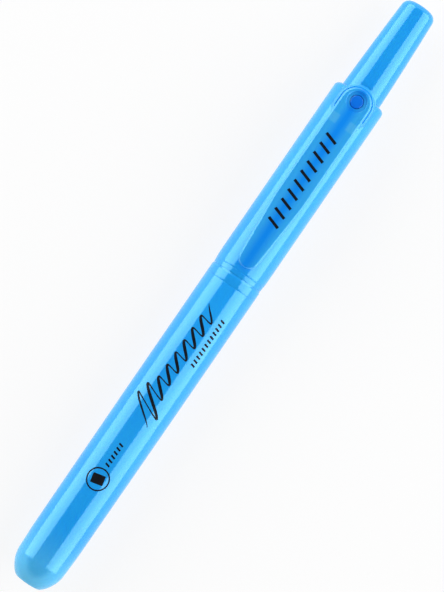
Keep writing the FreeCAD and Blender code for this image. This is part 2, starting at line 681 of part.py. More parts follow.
def make_rotor():
    """Rotating cam: four fins, four teeth towards the plunger, a plain bore."""
    body = turned_body("rotor", tube_corners(ROTOR_FRONT, ROTOR_REAR, "0", ROTOR_R))
    half = "(Dims.groove_width / 2 - Dims.fin_gap)"
    reach = f"({GROOVE_R} - Dims.fin_gap)"
    for name, across, along in (("upright", half, reach), ("level", reach, half)):
        fin = new_sketch(body, name, "YZ_Plane", f"({ROTOR_REAR} - Dims.fin_length)")
        draw_box(fin, negative(across), across, negative(along), along)
        extrude(body, "Pad", fin, "Dims.fin_length")
    tooth_half = "(Dims.tooth_width / 2)"
    tip = f"({ROTOR_REAR} + Dims.tooth_height)"
    for plane in ("XZ_Plane", "XY_Plane"):
        tooth = new_sketch(body, f"tooth_{plane}", plane)
        draw_outline(tooth, [
            (ROTOR_REAR, negative(tooth_half)),
            (tip, "0"),
            (ROTOR_REAR, tooth_half),
        ])
        extrude(body, "Pad", tooth, "Dims.tooth_span", symmetric=True)
    bore = new_sketch(body, "bore", "YZ_Plane", f"({ROTOR_FRONT} - Dims.end_gap)")
    draw_circle(bore, "0", "0", f"({STUB_R} + Dims.running_gap)")
    extrude(body, "Pocket", bore, backwards=True)
    return body


# ---------------------------------------------------------------- ink unit
def make_tail_plug():
    """Plug that closes the ink tube and carries the rotor on a stub."""
    stub_end = f"({ROTOR_REAR} - Dims.end_gap)"
    return turned_body("tail_plug", [
        (f"({TUBE_REAR} - Dims.plug_depth)", "0"),
        (stub_end, "0"),
        (stub_end, STUB_R),
        (f"({TUBE_REAR} + Dims.plug_flange)", STUB_R),
        (f"({TUBE_REAR} + Dims.plug_flange)", TUBE_R),
        (TUBE_REAR, TUBE_R),
        (TUBE_REAR, TUBE_BORE_R),
        (f"({TUBE_REAR} - Dims.plug_depth)", TUBE_BORE_R),
    ])


def make_ink_tube():
    """Plain tube round the ink filler."""
    return turned_body("ink_tube", tube_corners(TUBE_FRONT, TUBE_REAR, TUBE_BORE_R, TUBE_R))


def make_ink_filler():
    """Fibre rod that holds the ink, with a socket for the nib's stem."""
    radius = f"({TUBE_BORE_R} - Dims.filler_gap)"
    socket_end = f"({FILLER_FRONT} + Dims.nib_socket)"
    return turned_body("ink_filler", [
        (FILLER_FRONT, STEM_R),
        (socket_end, STEM_R),
        (socket_end, "0"),
        (FILLER_REAR, "0"),
        (FILLER_REAR, radius),
        (FILLER_FRONT, radius),
    ])


def make_nib_holder():
    """Holder that grips the nib, takes the spring's push and plugs the ink tube."""
    return turned_body("nib_holder", [
        (HOLDER_FRONT, STEM_R),
        (PLUG_REAR, STEM_R),
        (PLUG_REAR, TUBE_BORE_R),
        (TUBE_FRONT, TUBE_BORE_R),
        (TUBE_FRONT, TUBE_R),
        (SPRING_REAR, TUBE_R),
        (SPRING_REAR, HOLDER_R),
        (HOLDER_FRONT, HOLDER_R),
    ])


def make_nib():
    """Chisel nib cut from a round bar, with a stem into the filler."""
    body = turned_body("nib", [
        (NIB_TIP, "0"),
        (f"({FILLER_FRONT} + Dims.nib_socket)", "0"),
        (f"({FILLER_FRONT} + Dims.nib_socket)", STEM_R),
        (HOLDER_FRONT, STEM_R),
        (HOLDER_FRONT, "(Dims.nib_diameter / 2)"),
        (NIB_TIP, "(Dims.nib_diameter / 2)"),
    ])
    outside = "Dims.nib_diameter"
    flat = "(Dims.nib_thickness / 2)"
    edge = "(Dims.nib_tip_thickness / 2)"
    before = f"({NIB_TIP} - Dims.nib_slant)"
    for name, sign in (("upper", ""), ("lower", "-")):
        cut = new_sketch(body, f"{name}_flat")
        draw_outline(cut, [
            (before, f"{sign}{edge}"),
            (NIB_TIP, f"{sign}{edge}"),
            (f"({NIB_TIP} + Dims.nib_chisel)", f"{sign}{flat}"),
            (HOLDER_FRONT, f"{sign}{flat}"),
            (HOLDER_FRONT, f"{sign}{outside}"),
            (before, f"{sign}{outside}"),
        ])
        extrude(body, "Pocket", cut, "(2 * Dims.nib_diameter)", symmetric=True)
    slant = new_sketch(body, "slant", "XY_Plane")
    draw_outline(slant, [
        (before, negative(outside)),
        (NIB_TIP, negative("(Dims.nib_diameter / 2)")),
        (f"({NIB_TIP} + Dims.nib_slant)", "(Dims.nib_diameter / 2)"),
        (before, outside),
    ])
    extrude(body, "Pocket", slant, "(2 * Dims.nib_diameter)", symmetric=True)
    return body


# ---------------------------------------------------------------- sealing tube and rings
SEAT_OFFSET = f"({LEAF_OFFSET} + Dims.end_gap)"
SHUTTER_TAN = "tan(Dims.shutter_angle * 1deg)"
SHUTTER_SIN = "sin(Dims.shutter_angle * 1deg)"
SHUTTER_COS = "cos(Dims.shutter_angle * 1deg)"
SEAT_APEX = (
    f"({HINGE} + {SEAT_OFFSET} * {SHUTTER_SIN}"
    f" - ({HINGE_DROP} - {SEAT_OFFSET} * {SHUTTER_COS}) / {SHUTTER_TAN})"
)
SEAT_BASE = f"({SEAT_APEX} + {CAVITY_D} / {SHUTTER_TAN})"
EAR_REAR = f"({SEAT_APEX} + ({HINGE_DROP} + Dims.knuckle_diameter) / {SHUTTER_TAN})"
EAR_INNER = "(Dims.knuckle_half + Dims.ear_gap)"
EAR_OUTER = f"({EAR_INNER} + Dims.ear_width)"
KNUCKLE_R = "(Dims.knuckle_diameter / 2)"
PIN_BORE_R = "(Dims.pin_diameter / 2 + Dims.pin_gap)"
SIDES = (("lower", "-"), ("upper", ""))


def make_seal_tube():
    """Tube round the nib whose wedge-shaped front carries the two shutters."""
    front = f"({HINGE} - Dims.leaf_root)"
    body = turned_body("seal_tube", [
        (front, SEAL_BORE_R),
        (SEAL_REAR, SEAL_BORE_R),
        (SEAL_REAR, COLLAR_R),
        ("Dims.seal_shoulder", COLLAR_R),
        ("Dims.seal_shoulder", SEAL_R),
        (front, SEAL_R),
    ])
    wedge = new_sketch(body, "wedge")
    draw_outline(wedge, [
        ("0", f"-{CAVITY_D}"),
        (SEAT_BASE, f"-{CAVITY_D}"),
        (SEAT_APEX, "0"),
        (SEAT_BASE, CAVITY_D),
        ("0", CAVITY_D),
    ])
    extrude(body, "Pocket", wedge, f"(2 * {CAVITY_D})", symmetric=True)
    cut_ring_groove(body, "wiper", WIPER_STATION, "Dims.wiper_cord",
                    f"({SEAL_BORE_R} - Dims.end_gap)", f"({WIPER_RADIUS} + Dims.wiper_cord / 2)")
    cut_ring_groove(body, "outer", OUTER_RING_STATION, "Dims.outer_ring_cord",
                    f"({OUTER_RING_RADIUS} - Dims.outer_ring_cord / 2)",
                    f"({COLLAR_R} + Dims.end_gap)")
    for side, sign in SIDES:
        for flank, offset, backwards in (
            ("left", negative(EAR_OUTER), False),
            ("right", EAR_OUTER, True),
        ):
            ear = new_sketch(body, f"{side}_{flank}_ear", offset=offset)
            draw_ear(ear, sign)
            extrude(body, "Pad", ear, "Dims.ear_width", backwards=backwards)
        pin = new_sketch(body, f"{side}_pin")
        draw_circle(pin, HINGE, f"{sign}{HINGE_DROP}", PIN_BORE_R)
        extrude(body, "Pocket", pin, f"(2 * {CAVITY_D})", symmetric=True)
    return body


def cut_ring_groove(body, name, station, cord, inner, outer):
    """Square groove for a ring of a given cord."""
    groove = new_sketch(body, f"{name}_groove")
    half = f"({cord} / 2 + Dims.end_gap)"
    draw_box(groove, f"({station} - {half})", f"({station} + {half})", inner, outer)
    turn_profile(body, "Groove", groove)


def draw_ear(sketch, sign):
    """Rounded ear that reaches forward from the sealing tube to the hinge pin."""
    turn = "left" if sign else "right"
    edge_out = f"{sign}({HINGE_DROP} + {KNUCKLE_R})"
    edge_in = f"{sign}({HINGE_DROP} - {KNUCKLE_R})"
    nose = (f"({HINGE} - {KNUCKLE_R})", f"{sign}{HINGE_DROP}")
    draw_outline(sketch, [
        (EAR_REAR, edge_in),
        (HINGE, edge_in),
        (*nose, KNUCKLE_R, turn),
        (HINGE, edge_out, KNUCKLE_R, turn),
        (EAR_REAR, edge_out),
    ])


def make_ring(label, station, radius, cord):
    """Elastomer ring about the pen's axis."""
    ring = doc.addObject("Part::Torus", label)
    ring.Label = label
    ring.setExpression("Radius1", radius)
    ring.setExpression("Radius2", f"{cord} / 2")
    ring.Placement.Rotation = FreeCAD.Rotation(FreeCAD.Vector(0, 1, 0), 90)
    ring.setExpression("Placement.Base.x", f"{station} - Dims.overall_length / 2")
    ring.setExpression("Placement.Base.z", BARREL_R)
    return ring


def make_return_spring():
    """Compression spring between the sealing tube and the holder's flange."""
    helix = doc.addObject("Part::Helix", "return_spring_helix")
    height = "(Dims.spring_length - Dims.spring_wire - 2 * Dims.end_gap)"
    helix.setExpression("Height", height)
    helix.setExpression("Pitch", f"{height} / Dims.spring_turns")
    helix.setExpression("Radius", "Dims.spring_mean_diameter / 2")
    wire = doc.addObject("Part::Circle", "return_spring_wire")
    wire.setExpression("Radius", "Dims.spring_wire / 2")
    wire.Placement.Rotation = FreeCAD.Rotation(FreeCAD.Vector(1, 0, 0), 90)
    wire.setExpression("Placement.Base.x", "Dims.spring_mean_diameter / 2")
    doc.recompute()
    spring = doc.addObject("Part::Sweep", "return_spring")
    spring.Label = "return_spring"
    spring.Sections = [wire]
    spring.Spine = (helix, [])
    spring.Solid = True
    spring.Frenet = True
    spring.Placement.Rotation = FreeCAD.Rotation(FreeCAD.Vector(0, 1, 0), 90)
    start = f"{SEAL_REAR} + Dims.spring_wire / 2 + Dims.end_gap"
    spring.setExpression("Placement.Base.x", f"{start} - Dims.overall_length / 2")
    spring.setExpression("Placement.Base.z", BARREL_R)
    return spring


# ---------------------------------------------------------------- shutters
def place_at_hinge(item, sign):
    """Turn a shutter piece, drawn open about the pen's axis, to its closed place."""
    turn = "Dims.shutter_angle" if sign else "-Dims.shutter_angle"
    item.Placement.Rotation = FreeCAD.Rotation(FreeCAD.Vector(0, 1, 0), 1)
    item.setExpression("Placement.Rotation.Angle", f"{turn} * 1deg")
    swing = f"{HINGE_DROP} * {SHUTTER_SIN}"
    item.setExpression("Placement.Base.x", f"{HINGE} + {swing} - Dims.overall_length / 2")
    rise = f"{HINGE_DROP} * (1 - {SHUTTER_COS})"
    item.setExpression("Placement.Base.z", f"{BARREL_R} {'-' if sign else '+'} {rise}")


def shutter_blank(label, sign, outside, inner_face, outer_face):
    """Slab that fills the nose's cavity between two heights, open, from hinge to tip."""
    body = doc.addObject("PartDesign::Body", label)
    body.Label = label
    place_at_hinge(body, sign)
    tip_r = (
        f"({NOSE_CENTRE} + sqrt({CAVITY_ARC} ^ 2 - (Dims.nose_length - Dims.shutter_rest) ^ 2)"
        f" - {outside})"
    )
    fit_r = f"({CAVITY_R} - {outside})"
    round_sketch = new_sketch(body, "round")
    draw_outline(round_sketch, [
        (f"-{LEAF_LENGTH}", "0"),
        ("0", "0"),
        ("0", fit_r),
        (f"({CAVITY_END} - {HINGE})", fit_r),
        (f"-{LEAF_LENGTH}", tip_r),
    ])
    turn_profile(body, "Revolution", round_sketch)
    beyond = f"{sign}{CAVITY_D}"
    other = f"{'' if sign else '-'}{CAVITY_D}"
    for name, near, far in (("above", inner_face, other), ("below", outer_face, beyond)):
        cut = new_sketch(body, name)
        draw_box(cut, f"-2 * {LEAF_LENGTH}", LEAF_LENGTH, near, far)
        extrude(body, "Pocket", cut, f"(2 * {CAVITY_D})", symmetric=True)
    return body


def make_shutter(side, sign):
    """Half of the shutter: a plate with two knuckles on the hinge pin."""
    inner_face = f"{sign}({HINGE_DROP} - Dims.leaf_thickness / 2)"
    outer_face = f"{sign}({HINGE_DROP} + Dims.leaf_thickness / 2)"
    body = shutter_blank(f"shutter_{side}", sign, "Dims.leaf_clearance", inner_face, outer_face)
    far = CAVITY_D
    knuckle_inner = "(Dims.knuckle_half - Dims.knuckle_width)"
    coil_room = "(Dims.torsion_diameter / 2 + Dims.torsion_wire)"
    for name, start, low, high in (
        ("root_left", "-Dims.leaf_root", "Dims.knuckle_half", far),
        ("root_right", "-Dims.leaf_root", negative(far), "-Dims.knuckle_half"),
        ("coil_room", f"-{coil_room}", negative(knuckle_inner), knuckle_inner),
    ):
        cut = new_sketch(body, name, "XY_Plane")
        draw_box(cut, start, "Dims.leaf_root", low, high)
        extrude(body, "Pocket", cut, f"(4 * {CAVITY_D})", symmetric=True)
    for name, offset in (("left", "Dims.knuckle_half"), ("right", negative(knuckle_inner))):
        knuckle = new_sketch(body, f"{name}_knuckle", offset=offset)
        draw_circle(knuckle, "0", f"{sign}{HINGE_DROP}", KNUCKLE_R)
        extrude(body, "Pad", knuckle, "Dims.knuckle_width", backwards=True)
    bore = new_sketch(body, "pin_bore")
    draw_circle(bore, "0", f"{sign}{HINGE_DROP}", PIN_BORE_R)
    extrude(body, "Pocket", bore, f"(2 * {CAVITY_D})", symmetric=True)
    return body


def make_gasket(side, sign):
    """Soft pad on a shutter's inner face, which meets the sealing tube."""
    outer_face = f"{sign}({HINGE_DROP} - Dims.leaf_thickness / 2)"
    inner_face = f"{sign}({HINGE_DROP} - {LEAF_OFFSET})"
    outside = "(Dims.leaf_clearance + Dims.gasket_margin)"
    body = shutter_blank(f"gasket_{side}", sign, outside, inner_face, outer_face)
    root = new_sketch(body, "root", "XY_Plane")
    start = "(-Dims.leaf_root - Dims.gasket_margin)"
    draw_box(root, start, "Dims.leaf_root", f"-{CAVITY_D}", CAVITY_D)
    extrude(body, "Pocket", root, f"(4 * {CAVITY_D})", symmetric=True)
    return body


def make_hinge_pin(side, sign):
    """Steel pin through the ears and a shutter's knuckles."""
    pin = doc.addObject("Part::Cylinder", f"hinge_pin_{side}")
    pin.Label = f"hinge_pin_{side}"
    pin.setExpression("Radius", "Dims.pin_diameter / 2")
    pin.setExpression("Height", f"2 * {EAR_OUTER}")
    pin.Placement.Rotation = FreeCAD.Rotation(FreeCAD.Vector(1, 0, 0), 90)
    pin.setExpression("Placement.Base.x", f"{HINGE} - Dims.overall_length / 2")
    pin.setExpression("Placement.Base.y", EAR_OUTER)
    pin.setExpression("Placement.Base.z", f"{BARREL_R} {sign or '+'} {HINGE_DROP}")
    return pin


def make_shutter_spring(side, sign):
    """Torsion spring on a hinge pin: a close coil and two straight legs."""
    radius = size("Dims.torsion_diameter") / 2
    wire = size("Dims.torsion_wire") / 2
    width = size("Dims.torsion_width")
    end = width / 2 - 1.5 * wire
    leg_out = radius + wire / 2
    middle = FreeCAD.Vector(0, 0, 0)
    across = FreeCAD.Vector(0, 1, 0)
    coil = close_coil(radius, wire, width, int(size("Dims.torsion_turns")))

    fixed_way = FreeCAD.Vector(1, 0, 0)
    fixed_start = FreeCAD.Vector(0, -end, -leg_out) - fixed_way * wire
    fixed_reach = size(f"{SEAT_APEX} + {HINGE_DROP} / {SHUTTER_TAN} - {HINGE} - Dims.end_gap")
    lean = FreeCAD.Rotation(across, size("Dims.shutter_angle"))
    moving_way = lean.multVec(FreeCAD.Vector(-1, 0, 0))
    moving_start = lean.multVec(FreeCAD.Vector(0, end, -leg_out)) - moving_way * wire
    legs = [
        Part.makeCylinder(wire, fixed_reach, fixed_start, fixed_way),
        Part.makeCylinder(wire, size("Dims.torsion_leg"), moving_start, moving_way),
    ]
    shape = coil.fuse(legs)
    if not sign:
        shape = shape.mirror(middle, FreeCAD.Vector(0, 0, 1))
    spring = doc.addObject("Part::Feature", f"shutter_spring_{side}")
    spring.Label = f"shutter_spring_{side}"
    spring.Shape = shape
    spring.Placement.Base = FreeCAD.Vector(
        size(f"{HINGE} - Dims.overall_length / 2"),
        0,
        size(f"{BARREL_R} {sign or '+'} {HINGE_DROP}"),
    )
    return spring


def close_coil(radius, wire, width, turns):
    """Close-wound coil along Y, its touching turns drawn as rings joined at their sides."""
    pitch = width / turns
    inside = radius - wire
    valley = radius + wire / 2
    crest = radius + wire
    low = -width / 2
    edges = []
    for turn in range(turns):
        start = low + turn * pitch
        edges.append(Part.Arc(
            FreeCAD.Vector(valley, start, 0),
            FreeCAD.Vector(crest, start + pitch / 2, 0),
            FreeCAD.Vector(valley, start + pitch, 0),
        ).toShape())
    corners = [(valley, -low), (inside, -low), (inside, low), (valley, low)]
    points = [FreeCAD.Vector(x, y, 0) for x, y in corners]
    edges += [Part.LineSegment(*pair).toShape() for pair in zip(points, points[1:])]
    section = Part.Face(Part.Wire(edges))
    return section.revolve(FreeCAD.Vector(0, 0, 0), FreeCAD.Vector(0, 1, 0), FULL_TURN)


# ---------------------------------------------------------------- the pen
sub_parts = [
    make_front_barrel(),
    make_rear_barrel(),
    make_clip(),
    make_button(),
    make_plunger(),
    make_guide_sleeve(),
    make_rotor(),
    make_tail_plug(),
    make_ink_tube(),
    make_ink_filler(),
    make_nib_holder(),
    make_nib(),
    make_seal_tube(),
    make_ring("wiper_ring", WIPER_STATION, WIPER_RADIUS, "Dims.wiper_cord"),
    make_ring("outer_ring", OUTER_RING_STATION, OUTER_RING_RADIUS, "Dims.outer_ring_cord"),
    make_return_spring(),
]
for shutter_side, shutter_sign in SIDES:
    sub_parts.append(make_shutter(shutter_side, shutter_sign))
    sub_parts.append(make_gasket(shutter_side, shutter_sign))
    sub_parts.append(make_hinge_pin(shutter_side, shutter_sign))
    sub_parts.append(make_shutter_spring(shutter_side, shutter_sign))
doc.recompute()

# ---------------------------------------------------------------- checks and export
for item in doc.Objects:
    if {"Invalid", "Error"} & set(item.State):
        raise RuntimeError(f"{item.Name} failed: {item.State}")
for sub_part in sub_parts:
    if sub_part.Shape.isNull() or not sub_part.Shape.isValid():
        raise RuntimeError(f"{sub_part.Label} has no valid shape")
    if len(sub_part.Shape.Solids) != 1:
        raise RuntimeError(f"{sub_part.Label} is {len(sub_part.Shape.Solids)} solids")

os.makedirs("parts", exist_ok=True)
for sub_part in sub_parts:
    sub_part.Shape.exportStep(f"parts/{sub_part.Label}.step")
    print(f"{sub_part.Label}: {sub_part.Shape.Volume:.2f} mm3")
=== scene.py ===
import json
import math

import bmesh
import bpy
from mathutils import Matrix, Vector


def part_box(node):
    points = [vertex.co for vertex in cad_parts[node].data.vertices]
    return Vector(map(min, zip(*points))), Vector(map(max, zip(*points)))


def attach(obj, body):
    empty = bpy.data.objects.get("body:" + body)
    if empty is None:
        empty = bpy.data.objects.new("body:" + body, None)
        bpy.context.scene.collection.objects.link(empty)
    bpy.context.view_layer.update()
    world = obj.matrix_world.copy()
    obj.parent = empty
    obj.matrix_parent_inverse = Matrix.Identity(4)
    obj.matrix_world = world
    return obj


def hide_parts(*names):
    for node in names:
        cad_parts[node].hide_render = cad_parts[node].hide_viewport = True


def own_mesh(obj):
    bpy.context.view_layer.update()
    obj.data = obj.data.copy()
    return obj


bl_info = {
    "name": "Retractable Highlighter",
    "version": (1, 0, 0),
    "blender": (4, 5, 0),
    "location": "3D View > Sidebar > Highlighter",
    "description": "Looks for a retractable highlighter built round its packed parts",
    "category": "Add Mesh",
}

MM = 0.001

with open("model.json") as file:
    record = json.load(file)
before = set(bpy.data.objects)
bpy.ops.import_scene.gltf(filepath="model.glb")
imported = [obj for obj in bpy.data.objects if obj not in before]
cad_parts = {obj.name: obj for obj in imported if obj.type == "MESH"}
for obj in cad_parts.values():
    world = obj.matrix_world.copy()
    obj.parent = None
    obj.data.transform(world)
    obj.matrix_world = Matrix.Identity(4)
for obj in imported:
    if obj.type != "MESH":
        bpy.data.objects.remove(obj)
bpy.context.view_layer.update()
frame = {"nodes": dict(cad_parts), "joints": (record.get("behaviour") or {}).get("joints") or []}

# ------------------------------------------------------------------ places from the frame
FRONT_LOW, FRONT_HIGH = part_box("front_barrel")
REAR_LOW, REAR_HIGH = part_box("rear_barrel")
CLIP_LOW, CLIP_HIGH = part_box("clip")
BUTTON_LOW, BUTTON_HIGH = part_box("knock_button")
SPRING_LOW, SPRING_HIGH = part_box("return_spring")

MOUTH_X = FRONT_LOW.x
SEAM_X = REAR_LOW.x
TOP_X = BUTTON_HIGH.x
AXIS_Z = (BUTTON_LOW.z + BUTTON_HIGH.z) / 2
BARREL_R = AXIS_Z

# ------------------------------------------------------------------ measures
# meshes
TINY_MM = 1e-6
WELD = 1e-7
SEGMENTS = 160
HOLE_SEGMENTS = 64
WIRE_SIDES = 14
COIL_STEPS = 40
RIBBON_COLUMNS = 6
CREASE_DEG = 32.0

# polystyrene is 1.59; the reflection of the wall's inner face is added to the outer one's
STYRENE_IOR = 1.68
FLOW_PITCH_MM = 14.0
POLISH_PITCH_MM = 1.6
POLISH_DEPTH_MM = 0.004
# painted light shining through the nose's thin hollow wall: a paler colour at the mouth that fades
# out over this length
NOSE_GLOW_FADE_MM = 16.0
NOSE_PAINTED_GLOW_HEX = "52C0F9"

# the clip's painted highlights: a painted reflection along its side edges and paler patches over the
# two hooks under it, from the pen's axis sideways
CLIP_EDGE_HIGHLIGHT_HEX = "35AEFA"
CLIP_EDGE_HIGHLIGHT_MIDDLE_MM = 4.2
CLIP_EDGE_HIGHLIGHT_HALF_MM = 2.3
CLIP_EDGE_HIGHLIGHT_FADE_MM = 1.6
HOOK_HIGHLIGHT_HEX = "6FD0F8"
HOOK_INSET_MM = 8.0
HOOK_MIDDLE_MM = 2.15
HOOK_HALF_LENGTH_MM = 0.85
HOOK_HALF_WIDTH_MM = 0.75
HOOK_FADE_MM = 0.35
HOOK_HIGHLIGHT_STRENGTH = 0.28

# front barrel: nose, cavity behind it, and the seam with the rear barrel
EDGE_MM = 0.12
NOSE_WALL_MM = 1.0
MOUTH_DEPTH_MM = 1.2
CAVITY_MM = 4.25
CAVITY_STATION = 9.0
SHOULDER_EASE_MM = 1.5
SHOULDER_DROP_MM = 0.03
FRONT_LINE_MM = 2.4
SEAM_GAP_MM = 0.02
SEAM_LAND_MM = 0.5
SEAM_ROUND_MM = 0.22
NECK_LEAD_MM = 0.3
NECK_DROP_MM = 0.2

# rear barrel: distance behind the seam, and rise above the groove or fall below full radius
REAR_EDGE_MM = ((0.02, 0.0), (0.35, 0.07), (0.9, 0.13))
REAR_LINE_MM = (1.05, 0.145)
REAR_SWELL_MM = ((1.8, 0.03), (2.6, 0.0))
RIM_STATION = 121.5
RIM_LIP_MM = 0.1
RIM_WALL_MM = 1.1

# raised seat of the clip
SEAT_FRONT_HALF_MM = 1.6
SEAT_ROOT_MM = 0.45
SEAT_SINK_MM = 0.01
SEAT_ROUND_MM = 0.4
COVE_MM = 0.4
COVE_STEPS = 6

# clip, the bump under its free end, and the stud through it
CLIP_LIFT_MM = 0.01
CLIP_CHAMFER_MM = 0.12
CLIP_ROUND_STEPS = 8
CLIP_CREASE_MM = 0.08
DRILL_PAST_MM = 1.0
RING_DEPTH_MM = 0.4
BUMP_INSET_MM = 1.7
BUMP_LENGTH_MM = 3.4
BUMP_HEIGHT_MM = 0.7
BUMP_SINK_MM = 0.05
BUMP_EASE_MM = 0.3
# sideways place of each row of the bump, and how far the row is lifted into the clip
BUMP_ROWS_MM = ((-1.6, 0.15), (-1.45, 0.03), (-1.2, 0.0), (1.2, 0.0), (1.45, 0.03), (1.6, 0.15))
STUD_INSET_MM = 2.9
STUD_GAP_MM = 0.1
STUD_BELOW_TOP_MM = 0.25
STUD_ROOT_MM = 0.3
STUD_ROUND_MM = 0.2
STUD_SHOULDER_MM = 0.25
STUD_DOME_MM = 0.01

# push button
FLANGE_BEHIND_RIM_MM = 1.15
FLANGE_EDGE_MM = 0.1
BUTTON_CROWN_MM = 2.4
DOME_JOIN_DEG = 14.0
BUTTON_SWELL_MM = 0.07

# printed film and marks; a row of bars is its start, pitch, count, middle, half-length, slant, width
FILM_MM = 0.012
WAVE_FRONT_MM = 42.0
WAVE_REAR_MM = 67.8
WAVES = 8.5
WAVE_STEPS = 340
WAVE_HEIGHT_MM = 1.35
WAVE_MIDDLE_MM = 0.2
WAVE_SLANT = 0.6
WAVE_THIN_MM = 0.24
WAVE_THICK_MM = 0.66
FLOURISH_HEIGHT_MM = 3.5
FLOURISH_AT = 0.09
FLOURISH_SPREAD = 0.12
END_TAPER = 12
END_SHARE = 0.2
ICON_STATION = 26.2
ICON_RADIUS_MM = 2.35
ICON_LINE_MM = 0.3
ICON_BLOCK = (ICON_STATION, 1.0, 1, 0.0, 1.3, -0.6, 2.1)
ICON_BARS = (34.6, 0.98, 6, 0.0, 0.5, 0.25, 0.4)
WAVE_BARS = (67.0, 0.98, 12, -3.0, 0.55, 0.25, 0.42)
CLIP_BARS = (110.2, 2.3, 10, 0.1, 1.4, 0.9, 0.62)

# floor, surroundings, light panels and camera
FLOOR_WHITE = 0.85
FLOOR_HALF = 3.0
HORIZON_Z = 0.3
OVERHEAD_Z = 0.75
OVERHEAD_DIM = 0.08
STRIP_RADIANCE = 2.1
STRIP_DISTANCE = 0.5
# the panels end a little beyond the nose, so that their reflections stop on its round
STRIP_REACH = 0.8
STRIP_SHIFT = 0.22
PEN_TILT_DEG = 34.46
VIEW_HEIGHT_MM = 122.3
OFFSET_RIGHT_MM = -0.6
OFFSET_UP_MM = -0.4


def station(distance_mm):
    """X of a point a distance in mm behind the flat mouth of the nose."""
    return MOUTH_X + distance_mm * MM


def to_station(x):
    """Distance in mm from the mouth of an X in the frame."""
    return (x - MOUTH_X) / MM


def joint(name):
    """One joint of the frame by its name."""
    return [entry for entry in frame["joints"] if entry["name"] == name][0]


# ------------------------------------------------------------------ colour and nodes
def linear(hex_colour):
    """sRGB hex, such as 22A6FD, as linear red, green, blue and alpha."""
    channels = [int(hex_colour[i:i + 2], 16) / 255 for i in (0, 2, 4)]
    return [c / 12.92 if c <= 0.04045 else ((c + 0.055) / 1.055) ** 2.4 for c in channels] + [1.0]


def add_node(tree, kind, settings=None, **links):
    """Add a node; settings are attributes or input values, links are output sockets by input name."""
    node = tree.nodes.new(kind)
    for name, value in (settings or {}).items():
        if hasattr(node, name):
            setattr(node, name, value)
        else:
            node.inputs[name].default_value = value
    for name, socket in links.items():
        tree.links.new(socket, node.inputs[name.replace("_", " ")])
    return node


def new_material(name):
    """An empty node material and its output node."""
    material = bpy.data.materials.new(name)
    material.use_nodes = True
    tree = material.node_tree
    tree.nodes.clear()
    output = add_node(tree, "ShaderNodeOutputMaterial")
    return material, tree, output


def colour_ramp(tree, factor, stops):
    """A ramp through (position, linear colour) stops."""
    ramp = add_node(tree, "ShaderNodeValToRGB", None, Fac=factor)
    ramp.color_ramp.elements[0].position, ramp.color_ramp.elements[0].color = stops[0]
    ramp.color_ramp.elements[1].position, ramp.color_ramp.elements[1].color = stops[-1]
    for position, colour in stops[1:-1]:
        ramp.color_ramp.elements.new(position).color = colour
    return ramp.outputs["Color"]


def per_metre(pitch_mm):
    """Texture scale that repeats once in a pitch given in millimetres."""
    return 1 / (pitch_mm * MM)


def blend_colour(tree, factor, colour, other_hex):
    """A colour that turns to another where a factor is 1."""
    mix = add_node(tree, "ShaderNodeMix", {"data_type": "RGBA"})
    tree.links.new(factor, mix.inputs[0])
    tree.links.new(colour, mix.inputs[6])
    mix.inputs[7].default_value = linear(other_hex)
    return mix.outputs[2]


def surface_noise(tree, pitch_mm, detail=2.0, roughness=0.5):
    """Noise whose features are about a pitch across, fixed to the object."""
    place = add_node(tree, "ShaderNodeTexCoord")
    settings = {"Scale": per_metre(pitch_mm), "Detail": detail, "Roughness": roughness}
    return add_node(tree, "ShaderNodeTexNoise", settings, Vector=place.outputs["Object"])


def bump_from(tree, height, depth_mm):
    """Bump of a real depth from a height of 0 to 1."""
    return add_node(
        tree, "ShaderNodeBump", {"Strength": 1.0, "Distance": depth_mm * MM}, Height=height,
    ).outputs["Normal"]


def finish_material(tree, output, settings, **links):
    """One Principled shader to the output."""
    shader = add_node(tree, "ShaderNodeBsdfPrincipled", settings, **links)
    tree.links.new(shader.outputs["BSDF"], output.inputs["Surface"])
    return shader


# ------------------------------------------------------------------ materials
def tinted_styrene(name, body_hex, thick_hex, thin_hex, painted_nose_glow=False, painted_clip_highlights=False):
    """Injection-moulded, polished transparent-tinted polystyrene: wet gloss over a deep colour,
    with slow, faint changes of tone where the wall is thicker or thinner."""
    material, tree, output = new_material(name)
    tone = surface_noise(tree, FLOW_PITCH_MM, detail=1.0)
    colour = colour_ramp(tree, tone.outputs["Fac"], [
        (0.25, linear(thick_hex)), (0.5, linear(body_hex)), (0.8, linear(thin_hex)),
    ])
    # painted light: the nose gets paler towards the mouth, as if lit through its thin hollow wall
    if painted_nose_glow:
        place = add_node(tree, "ShaderNodeTexCoord")
        axis = add_node(tree, "ShaderNodeSeparateXYZ", None, Vector=place.outputs["Object"])
        along = add_node(tree, "ShaderNodeMapRange", {
            "From Min": station(0), "From Max": station(NOSE_GLOW_FADE_MM),
            "To Min": 1.0, "To Max": 0.0, "interpolation_type": "SMOOTHSTEP",
        }, Value=axis.outputs["X"])
        colour = blend_colour(tree, along.outputs["Result"], colour, NOSE_PAINTED_GLOW_HEX)
    if painted_clip_highlights:
        colour = paint_clip_highlights(tree, colour)
    grain = surface_noise(tree, POLISH_PITCH_MM, detail=3.0)
    normal = bump_from(tree, grain.outputs["Fac"], POLISH_DEPTH_MM)
    finish_material(tree, output, {
        "Roughness": 0.12, "IOR": STYRENE_IOR, "Specular IOR Level": 1.0,
        "Specular Tint": linear("A8F4FF"), "Subsurface Weight": 0.12,
        "Subsurface Radius": (0.2 * MM, 0.6 * MM, 1.2 * MM), "Subsurface Scale": 1.0,
    }, Base_Color=colour, Normal=normal)
    return material


